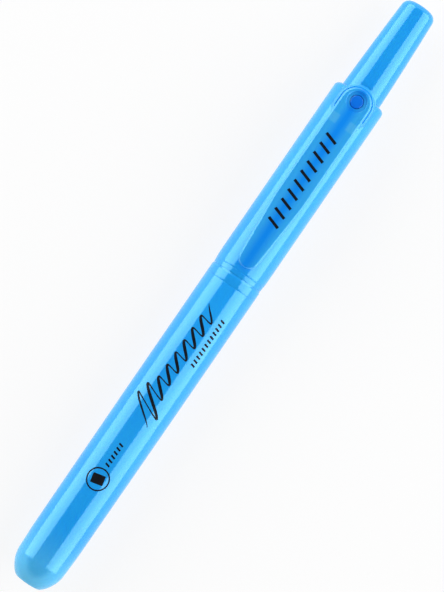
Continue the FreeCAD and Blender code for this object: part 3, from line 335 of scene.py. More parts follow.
def paint_clip_highlights(tree, colour):
    """Paint highlights on the clip: a painted reflection along its side edges and paler patches where
    its two hooks show through.
    """
    place = add_node(tree, "ShaderNodeTexCoord")
    axis = add_node(tree, "ShaderNodeSeparateXYZ", None, Vector=place.outputs["Object"])
    aside = add_node(tree, "ShaderNodeMath", {"operation": "ABSOLUTE"})
    tree.links.new(axis.outputs["Y"], aside.inputs[0])
    # painted reflection: paler bands along the clip's side edges
    edge = band_mask(tree, aside.outputs[0], CLIP_EDGE_HIGHLIGHT_MIDDLE_MM * MM, CLIP_EDGE_HIGHLIGHT_HALF_MM * MM,
                     CLIP_EDGE_HIGHLIGHT_FADE_MM * MM)
    colour = blend_colour(tree, edge, colour, CLIP_EDGE_HIGHLIGHT_HEX)
    # painted highlights: paler patches where the two real hooks under the clip show through it
    hook_x = station(to_station(CLIP_HIGH.x) - HOOK_INSET_MM)
    fade = HOOK_FADE_MM * MM
    along = band_mask(tree, axis.outputs["X"], hook_x, HOOK_HALF_LENGTH_MM * MM, fade)
    across = band_mask(tree, aside.outputs[0], HOOK_MIDDLE_MM * MM, HOOK_HALF_WIDTH_MM * MM, fade)
    hooks = add_node(tree, "ShaderNodeMath", {"operation": "MULTIPLY"})
    tree.links.new(along, hooks.inputs[0])
    tree.links.new(across, hooks.inputs[1])
    faint = add_node(tree, "ShaderNodeMath", {"operation": "MULTIPLY"})
    tree.links.new(hooks.outputs[0], faint.inputs[0])
    faint.inputs[1].default_value = HOOK_HIGHLIGHT_STRENGTH
    return blend_colour(tree, faint.outputs[0], colour, HOOK_HIGHLIGHT_HEX)


def band_mask(tree, value, centre, half, fade):
    """1 within a half-width of a centre, falling to 0 over a fade on either side."""
    offset = add_node(tree, "ShaderNodeMath", {"operation": "SUBTRACT"})
    tree.links.new(value, offset.inputs[0])
    offset.inputs[1].default_value = centre
    distance = add_node(tree, "ShaderNodeMath", {"operation": "ABSOLUTE"})
    tree.links.new(offset.outputs[0], distance.inputs[0])
    return add_node(tree, "ShaderNodeMapRange", {
        "From Min": half, "From Max": half + fade, "To Min": 1.0, "To Max": 0.0,
    }, Value=distance.outputs[0]).outputs["Result"]


def moulded_acetal(name, hex_colour="EDEFF0"):
    """Moulded acetal: waxy, off-white, with a fine spark-eroded grain."""
    material, tree, output = new_material(name)
    tone = surface_noise(tree, pitch_mm=6.0)
    colour = colour_ramp(tree, tone.outputs["Fac"], [
        (0.3, linear("DDE1E3")), (0.7, linear(hex_colour)),
    ])
    grain = surface_noise(tree, pitch_mm=0.25)
    normal = bump_from(tree, grain.outputs["Fac"], depth_mm=0.006)
    finish_material(tree, output, {
        "Roughness": 0.38, "IOR": 1.48, "Subsurface Weight": 0.2,
        "Subsurface Radius": (0.8 * MM, 0.8 * MM, 0.8 * MM), "Subsurface Scale": 1.0,
    }, Base_Color=colour, Normal=normal)
    return material


def extruded_polypropylene(name):
    """Extruded natural polypropylene: milky, with faint lines along the tube, wet with ink inside."""
    material, tree, output = new_material(name)
    place = add_node(tree, "ShaderNodeTexCoord")
    stretch = add_node(tree, "ShaderNodeMapping", {"Scale": (0.04, 1.0, 1.0)},
                       Vector=place.outputs["Object"])
    lines = add_node(tree, "ShaderNodeTexNoise", {"Scale": per_metre(pitch_mm=0.5), "Detail": 2.0},
                     Vector=stretch.outputs["Vector"])
    colour = colour_ramp(tree, lines.outputs["Fac"], [
        (0.3, linear("BFE3F7")), (0.7, linear("DCEFF8")),
    ])
    normal = bump_from(tree, lines.outputs["Fac"], depth_mm=0.004)
    finish_material(tree, output, {"Roughness": 0.3, "IOR": 1.49},
                    Base_Color=colour, Normal=normal)
    return material


def bonded_fibre(name, dark_hex, light_hex, pitch_mm):
    """Bonded polyester fibre soaked with ink: fine strands along the rod, no gloss."""
    material, tree, output = new_material(name)
    place = add_node(tree, "ShaderNodeTexCoord")
    stretch = add_node(tree, "ShaderNodeMapping", {"Scale": (0.12, 1.0, 1.0)},
                       Vector=place.outputs["Object"])
    strands = add_node(tree, "ShaderNodeTexNoise",
                       {"Scale": per_metre(pitch_mm), "Detail": 4.0, "Roughness": 0.6},
                       Vector=stretch.outputs["Vector"])
    colour = colour_ramp(tree, strands.outputs["Fac"], [
        (0.3, linear(dark_hex)), (0.7, linear(light_hex)),
    ])
    normal = bump_from(tree, strands.outputs["Fac"], depth_mm=0.05)
    finish_material(tree, output, {
        "Roughness": 0.85, "IOR": 1.45, "Specular IOR Level": 0.3,
        "Sheen Weight": 0.15, "Sheen Roughness": 0.5,
    }, Base_Color=colour, Normal=normal)
    return material


def drawn_steel(name, turned=False):
    """Drawn spring wire or a ground pin: bright steel with fine lines."""
    material, tree, output = new_material(name)
    place = add_node(tree, "ShaderNodeTexCoord")
    lines = add_node(tree, "ShaderNodeTexNoise",
                     {"Scale": per_metre(pitch_mm=0.08 if turned else 0.3), "Detail": 3.0},
                     Vector=place.outputs["Object"])
    colour = colour_ramp(tree, lines.outputs["Fac"], [
        (0.3, linear("B9BCC0")), (0.7, linear("D7D9DC")),
    ])
    normal = bump_from(tree, lines.outputs["Fac"], depth_mm=0.003)
    finish_material(tree, output, {"Metallic": 1.0, "Roughness": 0.24},
                    Base_Color=colour, Normal=normal)
    return material


def moulded_nitrile(name):
    """Moulded nitrile rubber: near-black, soft sheen, a faint dusty bloom."""
    material, tree, output = new_material(name)
    bloom = surface_noise(tree, pitch_mm=0.6, detail=3.0)
    colour = colour_ramp(tree, bloom.outputs["Fac"], [
        (0.35, linear("1B1C1E")), (0.75, linear("303236")),
    ])
    normal = bump_from(tree, bloom.outputs["Fac"], depth_mm=0.008)
    finish_material(tree, output, {"Roughness": 0.6, "IOR": 1.52},
                    Base_Color=colour, Normal=normal)
    return material


def pad_print_ink(name):
    """Pad-printed black ink: a thin satin film whose edges are a little uneven."""
    material, tree, output = new_material(name)
    film = surface_noise(tree, pitch_mm=0.5, detail=3.0)
    colour = colour_ramp(tree, film.outputs["Fac"], [
        (0.3, linear("020812")), (0.8, linear("08111C")),
    ])
    normal = bump_from(tree, film.outputs["Fac"], depth_mm=0.004)
    finish_material(tree, output, {"Roughness": 0.5, "IOR": 1.5, "Specular IOR Level": 0.2},
                    Base_Color=colour, Normal=normal)
    return material


# ------------------------------------------------------------------ mesh helpers
def arc(centre, radius, start_deg, end_deg, steps):
    """Points (x, r) along an arc, ends included."""
    points = []
    for step in range(steps + 1):
        angle = math.radians(start_deg + (end_deg - start_deg) * step / steps)
        points.append((centre[0] + radius * math.cos(angle), centre[1] + radius * math.sin(angle)))
    return points


def ring_point(x_mm, radius_mm, angle):
    """A point on the pen's round, from a station, a radius and an angle from straight up."""
    return Vector((
        station(x_mm),
        math.sin(angle) * radius_mm * MM,
        AXIS_Z + math.cos(angle) * radius_mm * MM,
    ))


def lathe(mesh, profile, segments, closed=True):
    """Turn a profile of (station, radius) in mm about the pen's axis into a bmesh."""
    rings = []
    for x_mm, radius_mm in profile:
        if radius_mm < TINY_MM:
            rings.append([mesh.verts.new(ring_point(x_mm, 0.0, 0.0))])
            continue
        rings.append([
            mesh.verts.new(ring_point(x_mm, radius_mm, 2 * math.pi * step / segments))
            for step in range(segments)
        ])
    pairs = list(zip(rings, rings[1:]))
    if closed:
        pairs.append((rings[-1], rings[0]))
    for first, second in pairs:
        join_rings(mesh, first, second, segments)


def join_rings(mesh, first, second, segments):
    """Faces between two rings; a ring of one vertex is a pole."""
    for step in range(segments):
        following = (step + 1) % segments
        if len(first) == 1 and len(second) == 1:
            return
        if len(first) == 1:
            mesh.faces.new((first[0], second[following], second[step]))
        elif len(second) == 1:
            mesh.faces.new((first[step], first[following], second[0]))
        else:
            mesh.faces.new((first[step], first[following], second[following], second[step]))


def to_object(mesh, name, material, crease_deg=CREASE_DEG):
    """Finish a bmesh as a smooth object with its sharp edges kept."""
    bmesh.ops.remove_doubles(mesh, verts=mesh.verts, dist=WELD)
    bmesh.ops.recalc_face_normals(mesh, faces=mesh.faces)
    for face in mesh.faces:
        face.smooth = True
    data = bpy.data.meshes.new(name)
    mesh.to_mesh(data)
    mesh.free()
    data.set_sharp_from_angle(angle=math.radians(crease_deg))
    data.materials.append(material)
    piece = bpy.data.objects.new(name, data)
    bpy.context.scene.collection.objects.link(piece)
    return piece


def stand_for(piece, body, slot, *nodes):
    """Ride a piece on its body and let it stand for CAD nodes."""
    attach(piece, body)
    if nodes:
        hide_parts(*nodes)
    return piece


def plan_outline(front_mm, rear_mm, front_half, rear_half, waist_mm, steps):
    """Outline in plan of a bar with two round ends, anticlockwise from the rear's right."""
    points = []
    for x, y in arc((rear_mm - rear_half, 0.0), rear_half, -90, 90, steps):
        points.append((x, y))
    points.append((waist_mm, rear_half))
    for x, y in arc((front_mm + front_half, 0.0), front_half, 90, 270, steps):
        points.append((x, y))
    points.append((waist_mm, -rear_half))
    return points


def inset_outline(points, distance):
    """Move each point of a closed outline inwards by a distance."""
    moved = []
    count = len(points)
    for index, point in enumerate(points):
        before = Vector(points[index - 1])
        after = Vector(points[(index + 1) % count])
        tangent = (after - before).normalized()
        normal = Vector((-tangent.y, tangent.x))
        moved.append(tuple(Vector(point) + normal * distance))
    return moved


def loft_outlines(mesh, layers, cap_first=True, cap_last=True):
    """Join a stack of (outline, height) layers into walls, with flat caps."""
    rings = []
    for outline, height_mm in layers:
        rings.append([
            mesh.verts.new((station(x), y * MM, AXIS_Z + height_mm * MM)) for x, y in outline
        ])
    for first, second in zip(rings, rings[1:]):
        join_rings(mesh, first, second, len(first))
    if cap_first:
        mesh.faces.new(rings[0])
    if cap_last:
        mesh.faces.new(rings[-1])
    return rings


# ------------------------------------------------------------------ sizes and colours
def length(label, text, value_mm):
    """A length property with its default given in mm."""
    return bpy.props.FloatProperty(name=label, description=text, default=value_mm * MM,
                                   unit="LENGTH", precision=5)


class HighlighterBarrelSizes(bpy.types.PropertyGroup):
    mouth: length("Mouth", "Radius of the bore the nib comes through", 2.45)
    face: length("Face", "Radius of the flat face round the mouth", 3.1)
    nose: length("Nose", "Length of the nose's round", 5.5)
    nose_radius: length("Nose radius", "Radius where the nose's round ends", 5.58)
    shoulder: length("Shoulder", "Station where the nose meets the taper", 11.0)
    shoulder_radius: length("Shoulder radius", "Radius at that station", 5.75)
    straight: length("Straight", "Station where the front barrel gets straight", 44.0)
    front_radius: length("Front radius", "Radius of the front barrel", 5.84)
    seam_radius: length("Seam radius", "Radius at the bottom of the seam's groove", 5.68)
    bore: length("Bore", "Radius inside the front barrel", 4.4)
    neck: length("Neck", "Radius of the front barrel's neck", 5.0)
    rim_round: length("Rim round", "Round of the rear barrel's rim", 1.0)
    rim_opening: length("Rim opening", "Radius the button slides through", 4.68)
    line_depth: length("Line depth", "Depth of the fine turned lines", 0.035)


class HighlighterClipSizes(bpy.types.PropertyGroup):
    tip_half: length("Tip half-width", "Half the clip's width at its free end", 2.25)
    waist: length("Waist", "Station where the clip starts to narrow", 95.0)
    edge_round: length("Edge round", "Round of the clip's upper edge", 0.55)
    seat: length("Seat", "Clip seat above the pen's axis", 6.8)
    seat_half: length("Seat half-width", "Half the raised seat's width", 3.85)
    seat_front: length("Seat front", "Station where the raised seat starts", 110.2)
    seat_rear: length("Seat rear", "Station where the raised seat ends", 122.8)
    stud: length("Stud", "Radius of the stud through the clip", 1.35)
    ring: length("Ring", "Radius of the shallow ring round the stud", 2.2)


class HighlighterButtonSizes(bpy.types.PropertyGroup):
    root: length("Root", "Radius of the button at the rim", 4.56)
    tip: length("Tip", "Radius where the button's top begins", 3.75)
    top: length("Top", "Height of the button's dome", 0.65)
    top_round: length("Top round", "Round of the button's edge", 1.7)
    flange: length("Flange", "Radius of the flange inside the rim", 4.93)
    bore: length("Bore", "Radius inside the button", 2.6)


class HighlighterColours(bpy.types.PropertyGroup):
    barrel: bpy.props.StringProperty(name="Barrel", description="Barrel, sRGB hex", default="1EA6FD")
    barrel_thick: bpy.props.StringProperty(
        name="Barrel, thick", description="Where the wall is thicker, sRGB hex", default="1AA0FB")
    barrel_thin: bpy.props.StringProperty(
        name="Barrel, thin", description="Where the wall is thinner, sRGB hex", default="25ACFF")
    clip: bpy.props.StringProperty(name="Clip", description="Clip, sRGB hex", default="0890FC")
    stud: bpy.props.StringProperty(name="Stud", description="Stud, sRGB hex", default="0478F4")


PROPERTY_GROUPS = {
    "highlighter_barrel": HighlighterBarrelSizes,
    "highlighter_clip": HighlighterClipSizes,
    "highlighter_button": HighlighterButtonSizes,
    "highlighter_colours": HighlighterColours,
}


def in_mm(group):
    """The lengths of a property group as plain numbers in mm, by name."""
    return {name: getattr(group, name) / MM for name in group.__annotations__}


# ------------------------------------------------------------------ barrel
def nose_outside(size):
    """The nose's round as a circle tangent to the barrel: centre, radius and start angle."""
    rise = size["nose_radius"] - size["face"]
    radius = (size["nose"] ** 2 + rise ** 2) / (2 * rise)
    centre = (size["nose"], size["nose_radius"] - radius)
    start = math.degrees(math.atan2(size["face"] - centre[1], -centre[0]))
    return centre, radius, start


def fine_line(x_mm, radius_mm, depth_mm, half_mm=0.07):
    """Profile points of a fine turned line."""
    return [
        (x_mm - half_mm, radius_mm),
        (x_mm, radius_mm - depth_mm),
        (x_mm + half_mm, radius_mm),
    ]


def build_front_barrel(size, material):
    """Round nose, long gentle taper, straight grip, seam bevel, neck and bore."""
    seam = to_station(SEAM_X)
    neck_end = to_station(FRONT_HIGH.x)
    centre, radius, start = nose_outside(size)
    cavity_radius = radius - NOSE_WALL_MM
    cavity_start = math.degrees(math.acos((MOUTH_DEPTH_MM - centre[0]) / cavity_radius))
    cavity_end = math.degrees(math.asin((CAVITY_MM - centre[1]) / cavity_radius))
    profile = [(MOUTH_DEPTH_MM, size["mouth"])]
    profile += arc((EDGE_MM, size["mouth"] + EDGE_MM), EDGE_MM, -90, -180, 3)
    profile += arc((EDGE_MM, size["face"] - EDGE_MM), EDGE_MM, 180, start, 4)
    profile += arc(centre, radius, start - 1, 90, 22)[1:]
    profile += [
        (size["shoulder"] - SHOULDER_EASE_MM, size["shoulder_radius"] - SHOULDER_DROP_MM),
        (size["shoulder"], size["shoulder_radius"]),
        (size["straight"], size["front_radius"]),
    ]
    profile += fine_line(seam - FRONT_LINE_MM, size["front_radius"], size["line_depth"])
    bevel = (seam - SEAM_LAND_MM, size["front_radius"] - SEAM_ROUND_MM)
    profile += arc(bevel, SEAM_ROUND_MM, 90, 50, 3)
    profile += [
        (seam - SEAM_GAP_MM, size["seam_radius"]),
        (seam - SEAM_GAP_MM, size["neck"]),
        (neck_end - NECK_LEAD_MM, size["neck"]),
        (neck_end, size["neck"] - NECK_DROP_MM),
        (neck_end, size["bore"]),
        (CAVITY_STATION, size["bore"]),
        (CAVITY_STATION, CAVITY_MM),
    ]
    profile += arc(centre, cavity_radius, 180 - cavity_end, cavity_start, 8)
    mesh = bmesh.new()
    lathe(mesh, profile, SEGMENTS)
    return to_object(mesh, "front_barrel_shell", material)


def build_rear_barrel(size, clip, material):
    """Rear barrel: seam bevel, rim with a full round, and the raised seat of the clip."""
    seam = to_station(SEAM_X)
    rim = RIM_STATION
    barrel = BARREL_R / MM
    corner = size["rim_round"]
    line_at, line_rise = REAR_LINE_MM
    profile = [(seam + SEAM_GAP_MM, size["neck"])]
    profile += [(seam + behind, size["seam_radius"] + rise) for behind, rise in REAR_EDGE_MM]
    profile += fine_line(seam + line_at, size["seam_radius"] + line_rise, size["line_depth"])
    profile += [(seam + behind, barrel - fall) for behind, fall in REAR_SWELL_MM]
    profile += arc((rim - corner, barrel - corner), corner, 90, 0, 12)
    profile += arc((rim - RIM_LIP_MM, size["rim_opening"] + RIM_LIP_MM), RIM_LIP_MM, 0, -90, 3)
    profile += [
        (rim - RIM_WALL_MM, size["rim_opening"]),
        (rim - RIM_WALL_MM, size["neck"]),
    ]
    mesh = bmesh.new()
    lathe(mesh, profile, SEGMENTS)
    add_seat(mesh, clip)
    return to_object(mesh, "rear_barrel_shell", material)


def on_round(y_mm, radius_mm):
    """Height above the axis of a round surface at a given Y."""
    return math.sqrt(max(radius_mm ** 2 - y_mm ** 2, 0.0))


def add_seat(mesh, clip):
    """Raised seat with a coved foot on the barrel and a rounded upper edge."""
    barrel = BARREL_R / MM
    middle = (clip["seat_front"] + clip["seat_rear"]) / 2
    outline = plan_outline(clip["seat_front"], clip["seat_rear"], SEAT_FRONT_HALF_MM,
                           clip["seat_half"], middle, 20)
    rings = []
    hidden = barrel - SEAT_ROOT_MM
    foot = inset_outline(outline, -COVE_MM)
    rings.append([(x, y, on_round(y, hidden)) for x, y in foot])
    for step in range(COVE_STEPS + 1):
        turn = math.pi / 2 * step / COVE_STEPS
        outset = COVE_MM * (1 - math.sin(turn))
        lift = COVE_MM * (1 - math.cos(turn))
        edge = inset_outline(outline, -outset)
        rings.append([(x, y, on_round(y, barrel) + lift - SEAT_SINK_MM) for x, y in edge])
    for step in range(COVE_STEPS + 1):
        turn = math.pi / 2 * step / COVE_STEPS
        inset = SEAT_ROUND_MM * (1 - math.cos(turn))
        height = clip["seat"] - SEAT_ROUND_MM * (1 - math.sin(turn))
        rings.append([(x, y, height) for x, y in inset_outline(outline, inset)])
    verts = [
        [mesh.verts.new((station(x), y * MM, AXIS_Z + z * MM)) for x, y, z in ring]
        for ring in rings
    ]
    for first, second in zip(verts, verts[1:]):
        join_rings(mesh, first, second, len(first))
    mesh.faces.new(verts[-1])


# ------------------------------------------------------------------ clip and stud
def build_clip(size, material):
    """Flat blade with round ends, a soft upper edge and a counterbored hole."""
    low = to_station(CLIP_LOW.x)
    high = to_station(CLIP_HIGH.x)
    half = (CLIP_HIGH.y - CLIP_LOW.y) / 2 / MM
    top = (CLIP_HIGH.z - AXIS_Z) / MM
    seat = size["seat"]
    edge = size["edge_round"]
    outline = plan_outline(low, high, size["tip_half"], half, size["waist"], 24)
    under = inset_outline(outline, CLIP_CHAMFER_MM)
    layers = [(under, seat + CLIP_LIFT_MM), (outline, seat + CLIP_LIFT_MM + CLIP_CHAMFER_MM)]
    for step in range(CLIP_ROUND_STEPS + 1):
        turn = math.pi / 2 * step / CLIP_ROUND_STEPS
        inset = edge * (1 - math.cos(turn))
        layers.append((inset_outline(outline, inset), top - edge * (1 - math.sin(turn))))
    mesh = bmesh.new()
    loft_outlines(mesh, layers)
    blade = to_object(mesh, "clip_blade", material)
    stud_x = station(high - STUD_INSET_MM)
    drill(blade, stud_x, size["stud"] + STUD_GAP_MM, seat - DRILL_PAST_MM, top + DRILL_PAST_MM)
    drill(blade, stud_x, size["ring"], top - RING_DEPTH_MM, top + DRILL_PAST_MM)
    bevel_creases(blade, CLIP_CREASE_MM)
    return blade


def drill(piece, x, radius_mm, low_mm, high_mm):
    """Cut a round hole along Z through a piece."""
    mesh = bmesh.new()
    bmesh.ops.create_cone(
        mesh, cap_ends=True, segments=HOLE_SEGMENTS, radius1=radius_mm * MM,
        radius2=radius_mm * MM, depth=(high_mm - low_mm) * MM,
        matrix=Matrix.Translation((x, 0.0, AXIS_Z + (low_mm + high_mm) / 2 * MM)),
    )
    data = bpy.data.meshes.new("drill")
    mesh.to_mesh(data)
    mesh.free()
    cutter = bpy.data.objects.new("drill", data)
    bpy.context.scene.collection.objects.link(cutter)
    cut = piece.modifiers.new("drill", "BOOLEAN")
    cut.operation = "DIFFERENCE"
    cut.object = cutter
    cut.solver = "EXACT"
    apply_modifier(piece, cut)
    bpy.data.objects.remove(cutter)


def apply_modifier(piece, modifier):
    """Apply one modifier to a piece's mesh."""
    with bpy.context.temp_override(object=piece, active_object=piece, selected_objects=[piece]):
        bpy.ops.object.modifier_apply(modifier=modifier.name)


def bevel_creases(piece, width_mm):
    """Round every remaining sharp edge a little."""
    bevel = piece.modifiers.new("bevel", "BEVEL")
    bevel.width = width_mm * MM
    bevel.segments = 2
    bevel.limit_method = "ANGLE"
    bevel.angle_limit = math.radians(40)
    bevel.harden_normals = False
    apply_modifier(piece, bevel)
    piece.data.set_sharp_from_angle(angle=math.radians(CREASE_DEG))


def build_bump(size, material):
    """Rounded bump under the clip's free end."""
    low = to_station(CLIP_LOW.x) + BUMP_INSET_MM
    reach = BUMP_LENGTH_MM
    height = BUMP_HEIGHT_MM
    top = size["seat"] + BUMP_SINK_MM
    radius = (reach ** 2 / 4 + height ** 2) / (2 * height)
    centre = (low + reach / 2, top - height + radius)
    spread = math.degrees(math.asin(reach / 2 / radius))
    curve = arc(centre, radius, -90 - spread, -90 + spread, 14)
    mesh = bmesh.new()
    rows = []
    for y_mm, lift in BUMP_ROWS_MM:
        row = []
        for x, z in curve:
            raised = z + lift * min(1, (top - z) / BUMP_EASE_MM)
            row.append(mesh.verts.new((station(x), y_mm * MM, AXIS_Z + raised * MM)))
        rows.append(row)
    for first, second in zip(rows, rows[1:]):
        for index in range(len(curve) - 1):
            mesh.faces.new((first[index], first[index + 1], second[index + 1], second[index]))
    for row in (rows[0], rows[-1]):
        mesh.faces.new(row)
    mesh.faces.new([row[0] for row in rows] + [row[-1] for row in reversed(rows)])
    return to_object(mesh, "clip_bump", material)


def build_stud(size, material):
    """Round stud seen through the clip's hole, with a softly domed top."""
    x = station(to_station(CLIP_HIGH.x) - STUD_INSET_MM)
    top = (CLIP_HIGH.z - AXIS_Z) / MM - STUD_BELOW_TOP_MM
    root = size["seat"] - STUD_ROOT_MM
    profile = [(0.0, root), (size["stud"], root)]
    shoulder = (size["stud"] - STUD_ROUND_MM, top - STUD_SHOULDER_MM)
    profile += arc(shoulder, STUD_ROUND_MM, 0, 80, 4)
    profile += [(size["stud"] / 2, top - STUD_DOME_MM), (0.0, top)]
    mesh = bmesh.new()
    rings = []
    for radius_mm, height_mm in profile:
        if radius_mm < TINY_MM:
            rings.append([mesh.verts.new((x, 0.0, AXIS_Z + height_mm * MM))])
            continue
        rings.append([
            mesh.verts.new((
                x + math.cos(2 * math.pi * step / HOLE_SEGMENTS) * radius_mm * MM,
                math.sin(2 * math.pi * step / HOLE_SEGMENTS) * radius_mm * MM,
                AXIS_Z + height_mm * MM,
            ))
            for step in range(HOLE_SEGMENTS)
        ])
    for first, second in zip(rings, rings[1:]):
        join_rings(mesh, first, second, HOLE_SEGMENTS)
    return to_object(mesh, "clip_stud", material)


# ------------------------------------------------------------------ button
def build_button(size, material):
    """Tapered button: soft domed top, long draft, flange inside the rim, hollow underneath."""
    flange_front = to_station(BUTTON_LOW.x)
    flange_rear = RIM_STATION - FLANGE_BEHIND_RIM_MM
    top = to_station(TOP_X)
    edge = top - size["top"]
    corner = size["top_round"]
    slope = (size["root"] - size["tip"]) / (edge - RIM_STATION)
    join = math.radians(DOME_JOIN_DEG)
    join_r = size["tip"] - corner * (1 - math.sin(join))
    dome = join_r / math.sin(join)
    shoulder = top - dome * (1 - math.cos(join)) - corner * math.cos(join)
    shoulder_r = size["root"] - slope * (shoulder - RIM_STATION)
    profile = [
        (flange_front, size["bore"]),
        (flange_front, size["flange"] - FLANGE_EDGE_MM),
        (flange_front + FLANGE_EDGE_MM, size["flange"]),
        (flange_rear - FLANGE_EDGE_MM, size["flange"]),
        (flange_rear, size["flange"] - FLANGE_EDGE_MM),
        (flange_rear, size["root"]),
        (RIM_STATION + FLANGE_EDGE_MM, size["root"]),
    ]
    for share in (0.25, 0.5, 0.75):
        x = RIM_STATION + (shoulder - RIM_STATION) * share
        swell = BUTTON_SWELL_MM * 4 * share * (1 - share)
        profile.append((x, size["root"] + (shoulder_r - size["root"]) * share + swell))
    lean = math.degrees(math.atan(slope))
    profile += arc((shoulder, shoulder_r - corner), corner, 90 - lean, DOME_JOIN_DEG, 12)
    profile += arc((top - dome, 0.0), dome, DOME_JOIN_DEG, 0, 8)[1:]
    profile += [(top - BUTTON_CROWN_MM, 0.0), (top - BUTTON_CROWN_MM, size["bore"])]
    mesh = bmesh.new()
    lathe(mesh, profile, SEGMENTS)
    return to_object(mesh, "push_button", material)


# ------------------------------------------------------------------ print
def barrel_radius(x_mm):
    """Radius of the front barrel's gentle taper at a station."""
    size = in_mm(bpy.context.scene.highlighter_barrel)
    share = (x_mm - size["shoulder"]) / (size["straight"] - size["shoulder"])
    growth = size["front_radius"] - size["shoulder_radius"]
    return size["shoulder_radius"] + growth * min(max(share, 0.0), 1.0)


def on_barrel(x_mm, along_mm):
    """A point of ink on the front barrel, from a station and a distance round it."""
    radius = barrel_radius(x_mm)
    return ring_point(x_mm, radius + FILM_MM, along_mm / radius)


def on_clip(x_mm, y_mm):
    """A point of ink on the clip's flat top."""
    return Vector((station(x_mm), y_mm * MM, CLIP_HIGH.z + FILM_MM * MM))


def ribbon(mesh, path, widths_mm, surface):
    """A band of ink along (station, sideways) points, with a width at each point."""
    rows = []
    for index, point in enumerate(path):
        before = Vector(path[max(index - 1, 0)])
        after = Vector(path[min(index + 1, len(path) - 1)])
        tangent = (after - before).normalized()
        normal = Vector((-tangent.y, tangent.x)) * widths_mm[index]
        row = []
        for column in range(RIBBON_COLUMNS + 1):
            place = Vector(point) + normal * (column / RIBBON_COLUMNS - 0.5)
            row.append(mesh.verts.new(surface(place.x, place.y)))
        rows.append(row)
    for first, second in zip(rows, rows[1:]):
        for index in range(RIBBON_COLUMNS):
            mesh.faces.new((first[index], first[index + 1], second[index + 1], second[index]))


def slanted_bars(mesh, start_mm, pitch_mm, count, middle_mm, half_mm, slant_mm, width_mm, surface):
    """A row of equal slanted bars."""
    steps = 6
    for number in range(count):
        x_mm = start_mm - number * pitch_mm
        path = [
            (x_mm + slant_mm * (step / steps - 0.5), middle_mm + half_mm * (2 * step / steps - 1))
            for step in range(steps + 1)
        ]
        ribbon(mesh, path, [width_mm] * len(path), surface)


def brush_wave(start_mm, end_mm, waves, steps):
    """Slanted brush flourish: one tall swing, then small ones, thick one way and thin the other."""
    path = []
    widths = []
    for step in range(steps + 1):
        share = step / steps
        turn = 2 * math.pi * waves * share
        tall = math.exp(-((share - FLOURISH_AT) / FLOURISH_SPREAD) ** 2)
        swell = WAVE_HEIGHT_MM + (FLOURISH_HEIGHT_MM - WAVE_HEIGHT_MM) * tall
        sideways = -swell * math.cos(turn)
        x_mm = start_mm + (end_mm - start_mm) * share + WAVE_SLANT * sideways
        path.append((x_mm, sideways + WAVE_MIDDLE_MM))
        thick = 0.5 + 0.5 * math.sin(turn)
        taper = min(1.0, END_TAPER * share + END_SHARE, END_TAPER * (1 - share) + END_SHARE)
        widths.append((WAVE_THIN_MM + (WAVE_THICK_MM - WAVE_THIN_MM) * thick) * taper)
    return path, widths


def build_print(material):
    """Plain printed marks: a brush stroke, rows of bars, and a ring with a slanted bar."""
    mesh = bmesh.new()
    path, widths = brush_wave(WAVE_FRONT_MM, WAVE_REAR_MM, WAVES, WAVE_STEPS)
    ribbon(mesh, path, widths, on_barrel)
    slanted_bars(mesh, *WAVE_BARS, on_barrel)
    slanted_bars(mesh, *ICON_BARS, on_barrel)
    ring = [
        (ICON_STATION + ICON_RADIUS_MM * math.cos(2 * math.pi * step / HOLE_SEGMENTS),
         ICON_RADIUS_MM * math.sin(2 * math.pi * step / HOLE_SEGMENTS))
        for step in range(HOLE_SEGMENTS + 1)
    ]
    ribbon(mesh, ring, [ICON_LINE_MM] * len(ring), on_barrel)
    slanted_bars(mesh, *ICON_BLOCK, on_barrel)
    return to_object(mesh, "printed_marks", material)


def build_clip_print(material):
    """A plain row of slanted bars on the clip."""
    mesh = bmesh.new()
    slanted_bars(mesh, *CLIP_BARS, on_clip)
    return to_object(mesh, "clip_printed_bars", material)


# ------------------------------------------------------------------ springs
def wire_along(mesh, centres, radius_mm):
    """A round wire with flat ends along a row of points."""
    rings = []
    upright = None
    for index, centre in enumerate(centres):
        tangent = centres[min(index + 1, len(centres) - 1)] - centres[max(index - 1, 0)]
        tangent.normalize()
        if upright is None:
            upright = tangent.orthogonal()
        upright = (upright - tangent * upright.dot(tangent)).normalized()
        side = tangent.cross(upright)
        rings.append([
            mesh.verts.new(centre + (upright * math.cos(a) + side * math.sin(a)) * radius_mm * MM)
            for a in (2 * math.pi * step / WIRE_SIDES for step in range(WIRE_SIDES))
        ])
    for first, second in zip(rings, rings[1:]):
        join_rings(mesh, first, second, WIRE_SIDES)
    mesh.faces.new(rings[0])
    mesh.faces.new(rings[-1])


def build_return_spring(material):
    """Compression spring with closed end coils."""
    wire = 0.25
    mean = (SPRING_HIGH.y - SPRING_LOW.y) / 2 / MM - wire
    low = to_station(SPRING_LOW.x) + wire
    length_mm = to_station(SPRING_HIGH.x) - wire - low
    turns = 9
    ends = 0.9
    touching = 2.05 * wire
    closed = touching * ends
    centres = []
    for step in range(turns * COIL_STEPS + 1):
        turn = step / COIL_STEPS
        if turn < ends:
            along = closed * turn / ends
        elif turn > turns - ends:
            along = length_mm - closed * (turns - turn) / ends
        else:
            along = closed + (turn - ends) / (turns - 2 * ends) * (length_mm - 2 * closed)
        centres.append(ring_point(low + along, mean, 2 * math.pi * turn))
    mesh = bmesh.new()
    wire_along(mesh, centres, wire)
    return to_object(mesh, "return_spring_wire", material)


